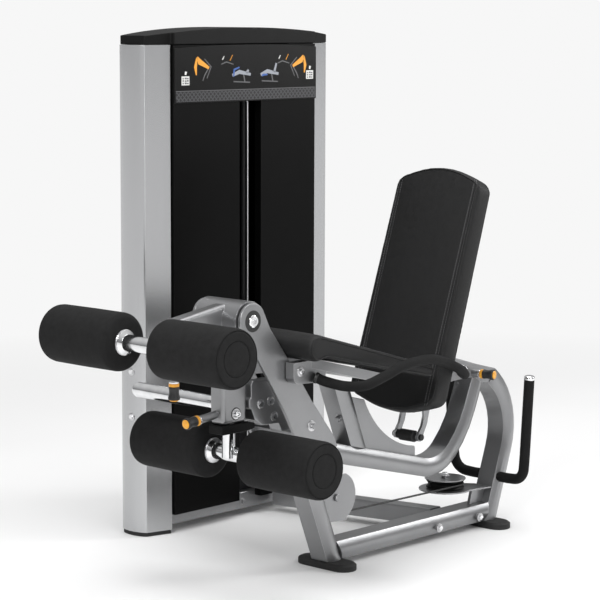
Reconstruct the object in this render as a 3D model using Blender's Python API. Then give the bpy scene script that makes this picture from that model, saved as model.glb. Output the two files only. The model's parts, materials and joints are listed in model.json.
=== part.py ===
"""Dual leg curl and leg extension machine, modelled as separate parts in metres.

Origin: the floor under the front foot, in the middle plane of the seat frame.
+X runs from the front foot to the rear, +Y from the seat to the weight tower, +Z up.
"""
from math import atan2, ceil, cos, degrees, hypot, pi, radians, sin, tan

import bmesh
import bpy
from mathutils import Matrix, Vector

for old in list(bpy.data.objects):
    bpy.data.objects.remove(old, do_unlink=True)

GAP = 0.0003            # clearance between two parts that touch

# Frame tube: two flat faces in the bend plane and two crowned sides.
TUBE_FLAT = 0.062       # width of the flat faces
TUBE_WIDE = 0.076       # width over the crowned sides
TUBE_DEEP = 0.052       # distance between the flat faces
PAD_TOP = 0.0195        # top of the rubber feet

LEG_LEAN = 0.4          # forward run of the front leg and the seat post per metre of rise
RAIL_FALL = 0.2525      # fall of the seat rail per metre towards the rear
KNEE = (-0.1345, 0.3487)        # where the front leg meets the seat rail
SEAT_SLOPE = -0.26      # slope of the seat's top face
BACK_TILT = radians(18.7)       # lean of the back rest from the vertical

PIVOT = (-0.380, 0.718)         # lever axis (x, z), along Y
STRUT_OUT = 0.0875      # outer face of each pivot strut
STRUT_THICK = 0.010
LEVER_HALF = 0.0255     # half width of the lever arms
ROLLER_R = 0.0741
ROLLER_IN = 0.0736      # roller's inner and outer end, from the middle plane
ROLLER_OUT = 0.3187
UPPER_AXLE = (-0.672, 0.679)
LOWER_AXLE = (-0.3626, 0.3625)
ARM_DROOP = radians(7.6)        # droop of the upper arm towards its rollers

HANDLE_R = 0.0150        # rear handle

HINGE = (0.385, 0.470)          # recline axis of the back rest (x, z), along Y
SEAT_HALF = 0.180

TOWER_X = 0.264         # middle of the weight tower
COLUMN_W = 0.095
COLUMN_D = 0.101
COLUMN_FRONT = 0.595     # outer front corner of each column
COLUMN_NOSE = 0.574      # inner front corner, nearer the seat
COLUMN_IN = 0.296       # inner side of each column, from the tower's middle
TOWER_TOP = 1.400
SHROUD_FRONT = 0.564
SLOT_X = 0.280          # middle of the slot in the front cover
SLOT_HALF = 0.045
ROD_SPREAD = 0.075
ROD_Y = 0.650
CABLE_R = 0.0028
REAR_PULLEY = (0.575, 0.058)
FRONT_PULLEY = (0.017, 0.189)


# ---------------------------------------------------------------- materials

def material(name, colour, roughness, metallic):
    made = bpy.data.materials.new(name)
    made.use_nodes = True
    shader = made.node_tree.nodes["Principled BSDF"]
    shader.inputs["Base Color"].default_value = (*colour, 1.0)
    shader.inputs["Roughness"].default_value = roughness
    shader.inputs["Metallic"].default_value = metallic
    return made


LOOKS = {
    "silver": ((0.42, 0.42, 0.43), 0.38, 0.75),
    "black": ((0.015, 0.015, 0.016), 0.45, 0.0),
    "vinyl": ((0.022, 0.022, 0.023), 0.60, 0.0),
    "foam": ((0.018, 0.018, 0.019), 0.80, 0.0),
    "rubber": ((0.012, 0.012, 0.012), 0.75, 0.0),
    "chrome": ((0.80, 0.80, 0.81), 0.12, 1.0),
    "steel": ((0.45, 0.45, 0.46), 0.35, 1.0),
    "iron": ((0.03, 0.03, 0.032), 0.50, 0.3),
    "amber": ((0.85, 0.40, 0.03), 0.40, 0.0),
    "panel": ((0.010, 0.010, 0.012), 0.20, 0.0),
}


# ---------------------------------------------------------------- modelling tools

def finish(name, bm, look, sharp=35, location=None):
    """Turn a bmesh into the named object, with its own material."""
    bmesh.ops.recalc_face_normals(bm, faces=bm.faces)
    mesh = bpy.data.meshes.new(name)
    bm.to_mesh(mesh)
    bm.free()
    mesh.shade_smooth()
    mesh.set_sharp_from_angle(angle=radians(sharp))
    made = bpy.data.objects.new(name, mesh)
    bpy.context.collection.objects.link(made)
    mesh.materials.append(material(name + "_" + look, *LOOKS[look]))
    if location:
        mesh.transform(Matrix.Translation(-Vector(location)))
        made.location = location
    return made


def round_edges(target, width, segments=2, angle=40):
    """Round the sharp edges of a part."""
    bevel = target.modifiers.new("round", "BEVEL")
    bevel.width = width
    bevel.segments = segments
    bevel.limit_method = "ANGLE"
    bevel.angle_limit = radians(angle)
    return target


def combine(target, other, operation):
    boolean = target.modifiers.new(operation.lower(), "BOOLEAN")
    boolean.operation = operation
    boolean.object = other
    other.hide_render = True
    other.display_type = "WIRE"
    return target


def cut(target, *cutters):
    for cutter in cutters:
        combine(target, cutter, "DIFFERENCE")
    return target


def unite(target, *others):
    for other in others:
        combine(target, other, "UNION")
    return target


def loft(name, rings, look, sharp=35, location=None):
    """Skin through rings of equal length and close both ends."""
    bm = bmesh.new()
    loops = [[bm.verts.new(point) for point in ring] for ring in rings]
    count = len(rings[0])
    for first, second in zip(loops, loops[1:]):
        for i in range(count):
            j = (i + 1) % count
            bm.faces.new((first[i], first[j], second[j], second[i]))
    bm.faces.new(loops[0])
    bm.faces.new(list(reversed(loops[-1])))
    return finish(name, bm, look, sharp, location)


def place(axis, u, v, w):
    """World point from outline coordinates (u, v) and height w along an axis letter."""
    if axis == "x":
        return (w, u, v)
    if axis == "y":
        return (u, w, v)
    return (u, v, w)


def prism(name, outline, axis, low, high, look, location=None):
    """Extrude an outline along an axis: (y, z) for x, (x, z) for y, (x, y) for z."""
    rings = [[place(axis, u, v, w) for u, v in outline] for w in (low, high)]
    return loft(name, rings, look, 35, location)


def box(name, low, high, look, location=None):
    outline = [(low[0], low[1]), (high[0], low[1]), (high[0], high[1]), (low[0], high[1])]
    return prism(name, outline, "z", low[2], high[2], look, location)


def turned(name, start, direction, profile, look, segments=20, location=None):
    """Turn a profile of (distance along the axis, radius) about a line from start."""
    axis = Vector(direction).normalized()
    side = axis.orthogonal().normalized()
    up = axis.cross(side)
    rings = []
    for along, radius in profile:
        centre = Vector(start) + axis * along
        rings.append([centre + (side * cos(a) + up * sin(a)) * radius
                      for a in (2 * pi * i / segments for i in range(segments))])
    return loft(name, rings, look, 35, location)


def rod(name, start, end, radius, look, segments=20, chamfer=0.0, location=None):
    """Round bar between two points, with an optional chamfer at both ends."""
    length = (Vector(end) - Vector(start)).length
    profile = [(0, radius), (length, radius)]
    if chamfer:
        profile = [(0, radius - chamfer), (chamfer, radius),
                   (length - chamfer, radius), (length, radius - chamfer)]
    return turned(name, start, Vector(end) - Vector(start), profile, look, segments, location)


def arc(centre, radius, first, last, steps):
    """Points on an arc, angles in degrees."""
    return [(centre[0] + radius * cos(radians(first + (last - first) * i / steps)),
             centre[1] + radius * sin(radians(first + (last - first) * i / steps)))
            for i in range(steps + 1)]


def stadium(half_long, half_wide, steps=8):
    """Outline with two round ends, long along its second coordinate."""
    run = half_long - half_wide
    return arc((0, run), half_wide, 0, 180, steps) + arc((0, -run), half_wide, 180, 360, steps)


def trace(start, heading, steps):
    """Path in the XZ plane: ("line", length) and ("arc", radius, turn in degrees)."""
    points = [Vector(start)]
    angle = radians(heading)
    for step in steps:
        if step[0] == "line":
            points.append(points[-1] + Vector((cos(angle), sin(angle))) * step[1])
            continue
        radius, turn = step[1], radians(step[2])
        parts = max(2, ceil(abs(degrees(turn)) / 9))
        chord = 2 * radius * sin(abs(turn) / parts / 2)
        for _ in range(parts):
            angle += turn / parts / 2
            points.append(points[-1] + Vector((cos(angle), sin(angle))) * chord)
            angle += turn / parts / 2
    return points, angle


def tube_section(flat, wide, deep, crown_steps=4, fillet=0.004):
    """Frame tube section as (across, up): flat top and bottom, crowned sides."""
    bulge = (wide - flat) / 2
    half = deep / 2 - fillet
    radius = (half * half + bulge * bulge) / (2 * bulge)
    spread = degrees(atan2(half, radius - bulge))
    right = arc((wide / 2 - radius, 0), radius, -spread, spread, crown_steps)
    inner = flat / 2 - fillet * 0.6
    side = [(inner, -deep / 2)] + right + [(inner, deep / 2)]
    return side + [(-u, -v) for u, v in side]


SECTION = tube_section(TUBE_FLAT, TUBE_WIDE, TUBE_DEEP)


def sweep(name, path, section, look, start_cut=None, end_cut=None, y=0.0, sharp=35):
    """Sweep a section along a path in the XZ plane.

    A cut is the direction (x, z) of the plane that ends the tube; without one it ends square.
    """
    points = [Vector(p) for p in path]
    rings = []
    for i, point in enumerate(points):
        before = (point - points[i - 1]).normalized() if i else None
        after = (points[i + 1] - point).normalized() if i + 1 < len(points) else None
        tangent = ((before or after) + (after or before)).normalized()
        along = after or before
        mitre = Vector((-tangent.y, tangent.x))
        if i == 0 and start_cut:
            mitre = Vector(start_cut).normalized()
        if after is None and end_cut:
            mitre = Vector(end_cut).normalized()
        square = Vector((-along.y, along.x))
        stretch = 1.0 / mitre.dot(square)
        rings.append([(point.x + mitre.x * v * stretch, y + u, point.y + mitre.y * v * stretch)
                      for u, v in section])
    return loft(name, rings, look, sharp)


def pipe(name, points, radius, look, sides=3):
    """Round tube or cable along points, as a curve with a round bevel and closed ends."""
    curve = bpy.data.curves.new(name, "CURVE")
    curve.dimensions = "3D"
    curve.bevel_depth = radius
    curve.bevel_resolution = sides
    curve.use_fill_caps = True
    spline = curve.splines.new("POLY")
    spline.points.add(len(points) - 1)
    for target, point in zip(spline.points, points):
        target.co = (*point, 1.0)
        target.radius = 1.0
    curve.materials.append(material(name + "_" + look, *LOOKS[look]))
    made = bpy.data.objects.new(name, curve)
    bpy.context.collection.objects.link(made)
    return made


def smooth_path(points, steps=3):
    """Catmull-Rom points through a short list of control points."""
    control = [Vector(p) for p in points]
    control = [2 * control[0] - control[1]] + control + [2 * control[-1] - control[-2]]
    result = []
    for a, b, c, d in zip(control, control[1:], control[2:], control[3:]):
        for i in range(steps):
            t = i / steps
            result.append(0.5 * (2 * b + (c - a) * t + (2 * a - 5 * b + 4 * c - d) * t * t
                                 + (3 * b - a - 3 * c + d) * t ** 3))
    result.append(control[-2])
    return result


def hex_bolt(name, start, direction, radius, look="steel"):
    """Bolt head with its washer, its underside at start."""
    plate = 0.0018
    rim = radius * 1.45
    profile = [(0, rim), (plate, rim), (plate, radius), (plate + radius * 0.75, radius),
               (plate + radius, radius * 0.75)]
    return turned(name, start, direction, profile, look, 12)


def grow(outline, amount):
    """Offset a counter-clockwise outline outwards."""
    result = []
    count = len(outline)
    for i in range(count):
        a, b, c = (Vector(outline[(i + k) % count]) for k in (-1, 0, 1))
        first = (b - a).normalized()
        second = (c - b).normalized()
        mitre = (Vector((first.y, -first.x)) + Vector((second.y, -second.x))).normalized()
        result.append(tuple(b + mitre * amount / max(0.3, mitre.dot(Vector((first.y, -first.x))))))
    return result


# ---------------------------------------------------------------- seat frame

def leg_x(z):
    return 0.005 - LEG_LEAN * z


def rail_z(x):
    return KNEE[1] - RAIL_FALL * (x - KNEE[0])


def post_x(z):
    return 0.221 - LEG_LEAN * z


LEG_HALF = TUBE_DEEP / 2 * hypot(1, LEG_LEAN)   # half the leg's thickness, level
RAIL_HALF = TUBE_DEEP / 2 * hypot(1, RAIL_FALL)  # half the rail's thickness, upright
RAIL_DIR = Vector((1, -RAIL_FALL)).normalized()
LEG_DIR = Vector((-LEG_LEAN, 1)).normalized()
KNEE_CUT = (RAIL_DIR - LEG_DIR).normalized()     # mitre plane between leg and rail
BASE_LOW = 0.0200
BASE_TOP = BASE_LOW + 0.051
BASE_SECTION = tube_section(TUBE_FLAT, TUBE_WIDE, BASE_TOP - BASE_LOW)


def base_tube():
    """Tube on the floor from the front leg to the rear upright."""
    middle = (BASE_LOW + BASE_TOP) / 2
    front = leg_x(middle) + LEG_HALF + 2 * GAP
    rear = upright_centre_x(middle) - upright_half() - 2 * GAP
    tube = sweep("base_tube", [(front, middle), (rear, middle)], BASE_SECTION, "silver",
                 start_cut=(-LEG_LEAN, 1), end_cut=(UPRIGHT_LEAN, 1))
    for i, x in enumerate((0.425, 0.610)):
        unite(tube, hex_bolt("base_bolt_%d" % i, (x, -TUBE_WIDE / 2 + 0.001, middle - 0.006),
                             (0, -1, 0), 0.0065))
    return tube


def front_leg():
    leg = sweep("front_leg", [(leg_x(BASE_LOW), BASE_LOW), KNEE], SECTION, "silver",
                start_cut=(-1, 0), end_cut=-KNEE_CUT)
    return leg


RAIL_RUN = 0.5228
RAIL_BEND = [("line", RAIL_RUN), ("arc", 0.134, 56.2), ("arc", 0.324, 25.0), ("line", 0.083)]


def seat_rail():
    start = Vector(KNEE) + RAIL_DIR * 0.0006
    path, _ = trace(start, degrees(atan2(RAIL_DIR.y, RAIL_DIR.x)), RAIL_BEND)
    return sweep("seat_rail", path, SECTION, "silver", start_cut=-KNEE_CUT)


RAIL_END, RAIL_END_ANGLE = trace(KNEE, degrees(atan2(RAIL_DIR.y, RAIL_DIR.x)), RAIL_BEND)
RAIL_END = RAIL_END[-1]

UPRIGHT_HEADING = 70.6
UPRIGHT_LEAN = 1 / tan(radians(UPRIGHT_HEADING))
UPRIGHT_START = (0.6795, BASE_LOW)
UPRIGHT_PATH = [("line", 0.215), ("arc", 0.190, 69.0), ("line", 0.024)]


def upright_centre_x(z):
    return UPRIGHT_START[0] + (z - UPRIGHT_START[1]) * UPRIGHT_LEAN


def upright_half():
    """Half the upright's width along X, at any level of its straight part."""
    return TUBE_DEEP / 2 / sin(radians(UPRIGHT_HEADING))


def rear_upright():
    """Bowed tube from the rear foot up to the bracket, bored for the rear handle."""
    path, _ = trace(UPRIGHT_START, UPRIGHT_HEADING, UPRIGHT_PATH)
    upright = sweep("rear_upright", path, SECTION, "silver", start_cut=(-1, 0))
    bore = rod("rear_handle_bore", (0.715, -0.06, 0.142), (0.715, 0.06, 0.142), HANDLE_R + GAP, "steel",
               24)
    return cut(upright, bore)


UPRIGHT_END, UPRIGHT_END_ANGLE = trace(UPRIGHT_START, UPRIGHT_HEADING, UPRIGHT_PATH)
UPRIGHT_END = UPRIGHT_END[-1]
POST_TOP = 0.500


def seat_post():
    low = (KNEE[1] + RAIL_FALL * KNEE[0] + RAIL_HALF + 2 * GAP - RAIL_FALL * 0.221)
    low /= 1 - RAIL_FALL * LEG_LEAN
    post = sweep("seat_post", [(post_x(low), low), (post_x(POST_TOP), POST_TOP)], SECTION, "silver",
                 start_cut=-RAIL_DIR, end_cut=(-1, 0.26))
    face_x = post_x(0.405) - LEG_HALF
    return unite(post, hex_bolt("post_bolt", (face_x + 0.0005, -0.012, 0.405), (-1, 0, -LEG_LEAN), 0.008))


def gusset():
    """Plate that braces the post on the rail; its free edge is an arc about the back rest."""
    lift = RAIL_HALF + 2 * GAP
    behind = LEG_HALF + 2 * GAP
    tail = 0.363
    edge = arc((0.400, 0.560), 0.282, 262, 205, 12)
    outline = [(post_x(0.462) + behind, 0.462)]
    corner_z = (KNEE[1] + RAIL_FALL * KNEE[0] + lift - RAIL_FALL * (0.221 + behind))
    corner_z /= 1 - RAIL_FALL * LEG_LEAN
    outline.append((post_x(corner_z) + behind, corner_z))
    outline.append((tail, rail_z(tail) + lift))
    outline.append((tail, 0.272))
    return prism("gusset", outline + edge, "y", -0.004, 0.004, "silver")


def top_bracket():
    """Block that ties the rail and the upright together and carries the recline hinge."""
    def corner(point, angle, side, ahead=2 * GAP):
        across = Vector((-sin(angle), cos(angle))) * (TUBE_DEEP / 2) * side
        return tuple(Vector(point) + across + Vector((cos(angle), sin(angle))) * ahead)

    nose = arc(HINGE, 0.028, 95, 250, 10)
    outline = [(0.604, 0.489), (0.489, 0.523), (0.420, 0.507)]
    outline += nose
    outline += [(0.430, 0.444), (0.500, 0.452)]
    outline.append(corner(RAIL_END, RAIL_END_ANGLE, 1))
    outline.append(corner(RAIL_END, RAIL_END_ANGLE, -1))
    outline.append(corner(UPRIGHT_END, UPRIGHT_END_ANGLE, 1))
    outline.append(corner(UPRIGHT_END, UPRIGHT_END_ANGLE, -1))
    block = prism("top_bracket", outline, "y", -0.031, 0.031, "silver")
    bore = rod("hinge_bore", (HINGE[0], -0.05, HINGE[1]), (HINGE[0], 0.05, HINGE[1]), 0.0085, "steel", 24)
    return round_edges(cut(block, bore), 0.002, 1)


BACK_PIN = Vector((0.5915, -0.050, 0.4645))     # end face of the neck of the back rest's pin
BACK_PIN_DIR = Vector((0.226, -0.974, 0)).normalized()


def pin_housing():
    """Neck of the back rest's pull pin on the side of the bracket, and its bore."""
    neck = rod("pin_neck", BACK_PIN - BACK_PIN_DIR * 0.030, BACK_PIN, 0.0110, "silver", 20)
    bore = rod("pin_neck_bore", BACK_PIN - BACK_PIN_DIR * 0.050, BACK_PIN + BACK_PIN_DIR * 0.010,
               PIN_R + GAP, "steel", 16)
    return neck, bore


def foot(name, x, y, half_long, half_wide):
    outline = stadium(half_long, half_wide)
    rings = []
    for z, inset in ((0.0, 0.0), (0.015, 0.0), (PAD_TOP, 0.003)):
        scale = (half_wide - inset) / half_wide
        rings.append([(x + u * scale, y + v * scale, z) for u, v in outline])
    return loft(name, rings, "rubber")


# ---------------------------------------------------------------- seat and back rest

def seat_top(x):
    return 0.577 + SEAT_SLOPE * (x - 0.116)


def mid_profile_pad(name, outline, half, look, inset=0.006):
    """Pad extruded across the seat from its side outline, with softened side edges."""
    rings = []
    for y, shrink in ((-half, inset), (-half + inset, 0), (half - inset, 0), (half, inset)):
        ring = grow(outline, -shrink) if shrink else outline
        rings.append([(u, y, v) for u, v in ring])
    return loft(name, rings, look)


SEAT_THICK = 0.047
ROLL = (-0.229, 0.640)          # centre of the seat's front roll
ROLL_R = 0.036
SEAT_REAR = 0.235


def seat_outline():
    down = degrees(atan2(SEAT_SLOPE, 1))
    rear_top = seat_top(SEAT_REAR)
    rear = arc((SEAT_REAR - 0.018, rear_top - 0.016), 0.018, -80, 72, 6)
    front = arc(ROLL, ROLL_R, 90 + down, 262, 10)
    under = (ROLL[0] + 0.030, seat_top(ROLL[0] + 0.030) - SEAT_THICK)
    return rear + front + [under]


def seat_pad():
    return mid_profile_pad("seat_pad", seat_outline(), SEAT_HALF, "vinyl")


PAN_HALF = 0.1185


def seat_pan():
    """Folded tray under the seat pad, with a deeper cheek outside each strut."""
    drop = SEAT_THICK + 0.0045
    flange = 0.026
    front, rear = -0.196, 0.115
    outline = [(rear, seat_top(rear) - drop), (front, seat_top(front) - drop),
               (front, seat_top(front) - drop - flange), (0.04, seat_top(0.04) - drop - flange),
               (rear, seat_top(rear) - drop - 0.008)]
    pan = prism("seat_pan", outline, "y", -PAN_HALF, PAN_HALF, "silver")
    sheet = 0.004
    floor = post_x(POST_TOP) + LEG_HALF + 0.012
    hollow = [(floor, seat_top(floor) - drop - sheet), (floor, seat_top(floor) - drop - 0.04),
              (rear - sheet, seat_top(rear) - drop - 0.04), (rear - sheet, seat_top(rear) - drop - sheet)]
    cut(pan, prism("pan_hollow", hollow, "y", -PAN_HALF + sheet, PAN_HALF - sheet, "silver"))
    cheek_rear = -0.140
    cheek = [(-0.205, 0.6005), (-0.262, 0.6005), (-0.262, 0.566)]
    cheek += arc((-0.242, 0.564), 0.020, 190, 265, 4)
    cheek += [(cheek_rear - 0.008, 0.539), (cheek_rear, 0.545),
              (cheek_rear, seat_top(cheek_rear) - drop - 0.002)]
    for i, side in enumerate((-1, 1)):
        low, high = sorted((side * (STRUT_OUT + 0.003), side * (PAN_HALF - 0.0002)))
        unite(pan, prism("pan_cheek_%d" % i, cheek, "y", low, high, "silver"))
        head = (-0.236, side * (PAN_HALF - 0.0008), 0.576)
        unite(pan, hex_bolt("pan_bolt_%d" % i, head, (0, side, 0), 0.0065))
    return pan


def back_front(z):
    """Front face of the back rest at height z, in the upright position."""
    return 0.311 + (z - 0.6) * tan(BACK_TILT)


BACK_UP = Vector((sin(BACK_TILT), cos(BACK_TILT)))
BACK_REAR = Vector((cos(BACK_TILT), -sin(BACK_TILT)))
BACK_THICK = 0.062
BACK_LOW = 0.425        # lower corners; the edge bows down between them
BACK_HIGH = 1.040       # upper corners; the edge bows up between them
BACK_BOW = 0.026


def back_point(along, depth):
    """Point (x, z) on the back rest: distance up its face from z = 0.6, depth behind the face."""
    return Vector((0.311, 0.6)) + BACK_UP * along + BACK_REAR * depth


def back_pad():
    """Slab with a rounded outline, laid on the back rest's tilted plane."""
    low = (BACK_LOW - 0.6) / cos(BACK_TILT)
    high = (BACK_HIGH - 0.6) / cos(BACK_TILT)
    half = 0.118
    radius = 0.036
    bow_radius = (half * half + BACK_BOW * BACK_BOW) / (2 * BACK_BOW)
    spread = degrees(atan2(half, bow_radius - BACK_BOW))
    outline = arc((-0.114, high - radius), radius, 105, 175, 4)
    outline += arc((-0.121, low + radius), radius, 185, 255, 4)
    outline += arc((0, low + bow_radius - BACK_BOW), bow_radius, 270 - spread, 270 + spread, 8)[1:-1]
    outline += arc((0.121, low + radius), radius, 285, 355, 4)
    outline += arc((0.114, high - radius), radius, 5, 75, 4)
    outline += arc((0, high + BACK_BOW - bow_radius), bow_radius, 90 - spread, 90 + spread, 8)[1:-1]
    rings = []
    for depth, inset in ((0.0, 0.007), (0.008, 0.0), (BACK_THICK - 0.006, 0.0), (BACK_THICK, 0.005)):
        ring = []
        for y, along in grow(outline, -inset) if inset else outline:
            x, z = back_point(along, depth)
            ring.append((x, y, z))
        rings.append(ring)
    return loft("back_pad", rings, "vinyl", location=(HINGE[0], 0, HINGE[1]))


LINK_Y = 0.0370         # inner face of each back rest link
LINK_THICK = 0.008
STOP = (0.336, 0.314)


def back_plate():
    """Steel plate behind the back pad."""
    corners = [back_point(a, d) for a, d in ((-0.105, BACK_THICK + GAP), (0.250, BACK_THICK + GAP),
                                             (0.250, BACK_THICK + 0.0053), (-0.105, BACK_THICK + 0.0053))]
    plate = prism("back_plate", [tuple(c) for c in corners], "y", -0.085, 0.085, "black",
                  location=(HINGE[0], 0, HINGE[1]))
    return round_edges(plate, 0.0015, 1)


def back_link(name, side):
    """Curved flat link from the back plate through the hinge down to the stop."""
    depth = BACK_THICK + 0.0030
    top = [tuple(back_point(a, depth)) for a in (0.070, -0.098)]
    low_front = [(0.352, 0.372), (0.344, 0.345)]
    end = arc(STOP, 0.0125, 165, 375, 8)
    low_rear = [(0.366, 0.350), (0.378, 0.395)]
    outline = top + low_front + end + low_rear + arc(HINGE, 0.022, -60, 75, 8)
    low, high = sorted((side * LINK_Y, side * (LINK_Y + LINK_THICK)))
    link = prism(name, outline, "y", low, high, "silver", location=(HINGE[0], 0, HINGE[1]))
    hole = rod(name + "_bore", (HINGE[0], -0.06, HINGE[1]), (HINGE[0], 0.06, HINGE[1]), 0.0083, "steel",
               24)
    lower = rod(name + "_low_bore", (STOP[0], -0.06, STOP[1]), (STOP[0], 0.06, STOP[1]), 0.0053, "steel",
                16)
    return cut(link, hole, lower)


def hinge_pin():
    """Shaft of the recline hinge, with a head outside each link."""
    out = LINK_Y + LINK_THICK + 0.0006
    profile = [(0, 0.010), (0.002, 0.0125), (0.006, 0.0125), (0.006, 0.0080),
               (0.006 + 2 * out, 0.0080), (0.006 + 2 * out, 0.0125), (0.010 + 2 * out, 0.0125),
               (0.012 + 2 * out, 0.010)]
    return turned("recline_pin", (HINGE[0], -out - 0.006, HINGE[1]), (0, 1, 0), profile, "chrome", 24)


def stop_bumper():
    """Ribbed rubber sleeve between the links' lower ends, with its bolt."""
    half = LINK_Y - GAP
    profile = []
    for along, radius in ((-half, 0.0125), (-half + 0.010, 0.0125), (-half + 0.012, 0.0165),
                          (half - 0.012, 0.0165),
                          (half - 0.010, 0.0125), (half, 0.0125)):
        profile.append((along + half, radius))
    return turned("stop_bumper", (STOP[0], -half, STOP[1]), (0, 1, 0), profile, "rubber", 16,
                  location=(HINGE[0], 0, HINGE[1]))


def stop_bolt():
    out = LINK_Y + LINK_THICK + GAP
    profile = [(0, 0.0075), (0.001, 0.009), (0.007, 0.009), (0.007, 0.005),
               (0.007 + 2 * out, 0.005), (0.007 + 2 * out, 0.009), (0.013 + 2 * out, 0.009),
               (0.014 + 2 * out, 0.0075)]
    return turned("stop_bolt", (STOP[0], -out - 0.007, STOP[1]), (0, 1, 0), profile, "chrome", 16,
                  location=(HINGE[0], 0, HINGE[1]))


# ---------------------------------------------------------------- handles

def side_handle(name, side):
    """Padded grab bar beside the seat."""
    control = [(-0.188, 0.1265, 0.556), (-0.172, 0.155, 0.545), (-0.146, 0.195, 0.536),
               (-0.105, 0.226, 0.537), (-0.041, 0.234, 0.553), (0.045, 0.233, 0.573), (0.170, 0.212,
                                                                                       0.572),
                                                                                       (0.260, 0.190,
                                                                                        0.552),
               (0.340, 0.179, 0.522), (0.402, 0.148, 0.496), (0.455, 0.092, 0.491), (0.500, 0.061,
                                                                                     0.4865)]
    points = smooth_path([(x, y * side, z) for x, y, z in control])
    return pipe(name, points, 0.0135, "foam", 2)


def handle_socket(side):
    """Round steel socket on the bracket that takes the rear end of a grab bar."""
    start = Vector((0.5012, 0.0602 * side, 0.4863))
    end = Vector((0.548, 0.0300 * side, 0.4800))
    return rod("handle_socket_%+d" % side, start, end, 0.0125, "chrome", 16, 0.001)


def rear_handle():
    """Crossbar in front of the upright, turned up into a grip at each end."""
    control = [(0.715, 0.0, 0.142), (0.715, 0.036, 0.142), (0.715, 0.072, 0.142), (0.712, 0.104, 0.147),
               (0.708, 0.124, 0.167), (0.705, 0.131, 0.204), (0.702, 0.139, 0.310), (0.700, 0.148, 0.450)]
    right = smooth_path(control)
    left = [Vector((p.x, -p.y, p.z)) for p in right[:0:-1]]
    return pipe("rear_handle", left + right, HANDLE_R, "foam", 2)


# ---------------------------------------------------------------- pulleys and cable

def pulley(name, centre, axis, radius, bore, half=0.011, look="black", segments=24):
    """Cable wheel with a groove, a thin web and a bored hub."""
    groove = 0.006
    profile = [(0, bore + 0.008), (0.003, bore + 0.010), (0.003, radius - 0.010), (0.001, radius),
               (half - 0.002, radius - groove), (half + 0.002, radius - groove), (2 * half - 0.001,
                                                                                  radius),
               (2 * half - 0.003, radius - 0.010), (2 * half - 0.003, bore + 0.010),
               (2 * half, bore + 0.008)]
    axis = Vector(axis)
    start = Vector(centre) - axis * half
    wheel = turned(name, start, axis, profile, look, segments, location=tuple(centre))
    hole = rod(name + "_bore", Vector(centre) - axis * 0.03, Vector(centre) + axis * 0.03, bore, "steel",
               ROUND)
    return cut(wheel, hole)


FRONT_R = 0.052
REAR_R = 0.056
AXLE_R = 0.0060
ROUND = 20              # sides of a shaft and of the bore it runs in
RUN = 0.00006           # radial clearance of a running fit


def bore_for(shaft, sides=ROUND):
    """Bore radius whose flats clear the corners of a shaft turning inside it."""
    return shaft / cos(pi / sides) + RUN


def front_pulley_cover(name, side):
    """Rounded plate beside the front pulley, bolted to the leg's rear face."""
    x, z = FRONT_PULLEY
    top, low = z + 0.064, z - 0.064
    outline = [(leg_x(top) + LEG_HALF + 3 * GAP, top), (leg_x(low) + LEG_HALF + 3 * GAP, low)]
    outline += [(x + 0.040, low - 0.004)]
    outline += arc((x + 0.010, z), 0.067, -62, 65, 12)
    inner, outer = sorted((side * 0.0145, side * 0.0185))
    return prism(name, outline, "y", inner, outer, "silver")


def pulley_axle(name, centre, axis, half, look="steel", head=0.0105):
    """Axle with a head at both ends; half is half the grip length."""
    axis = Vector(axis)
    start = Vector(centre) - axis * (half + 0.007)
    profile = [(0, head * 0.8), (0.0015, head), (0.007 - GAP, head), (0.007 - GAP, AXLE_R),
               (0.007 + GAP + 2 * half, AXLE_R), (0.007 + GAP + 2 * half, head),
               (0.0125 + 2 * half, head), (0.014 + 2 * half, head * 0.8)]
    return turned(name, start, axis, profile, look, 24)


REAR_Z = 0.131
REAR_TOP_PLATE_Z = 0.1450
REAR_LOW_PLATE_Z = 0.1130


def rear_pulley_plates():
    """Two plates that hold the rear pulley, the lower one reaching to the upright."""
    x, y = REAR_PULLEY
    bore = rod("rear_axle_bore", (x, y, 0.05), (x, y, 0.25), AXLE_R + GAP, "steel", ROUND)
    top = turned("rear_pulley_cap", (x, y, REAR_TOP_PLATE_Z), (0, 0, 1), [(0, 0.060), (0.003, 0.060)],
                 "silver", 32)
    edge_x = upright_centre_x(REAR_LOW_PLATE_Z) - upright_half() - 0.0015
    outline = arc((x, y), 0.077, 60, 290, 16)
    outline += [(edge_x, -0.028), (edge_x, 0.034)]
    low = prism("rear_pulley_plate", outline, "z", REAR_LOW_PLATE_Z, REAR_LOW_PLATE_Z + 0.004, "silver")
    cut(low, bore)
    return top, low


def base_gusset():
    """Wedge from the base tube up to the rear pulley's lower plate."""
    x_low = 0.612
    z = BASE_TOP + 2 * GAP
    top = REAR_LOW_PLATE_Z + 0.001
    rear_low = upright_centre_x(z) - upright_half() - 2 * GAP
    rear_top = upright_centre_x(top) - upright_half() - 2 * GAP
    outline = [(x_low, z), (rear_low, z), (rear_top, top), (x_low + 0.012, top)]
    return prism("base_gusset", outline, "y", -0.005, 0.005, "silver")


DIAGONAL = ((0.512, 0.0420), (0.4004, 0.5632))


def diagonal_beam():
    """Floor tube from the base tube across to the tower's base."""
    (x0, y0), (x1, y1) = DIAGONAL
    run = Vector((x1 - x0, y1 - y0)).normalized()
    across = Vector((run.y, -run.x)) * 0.0255
    rings = []
    for (cx, cy), normal_y in (((x0, y0), 1), ((x1, y1), 1)):
        ring = []
        for u, z in ((1, BASE_LOW), (1, BASE_TOP - 0.006), (0.86, BASE_TOP), (-0.86, BASE_TOP),
                     (-1, BASE_TOP - 0.006), (-1, BASE_LOW)):
            side_x = cx + across.x * u
            side_y = cy + across.y * u
            slide = (cy - side_y) / run.y * normal_y
            ring.append((side_x + run.x * slide, side_y + run.y * slide, z))
        rings.append(ring)
    return loft("diagonal_beam", rings, "silver")


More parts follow.
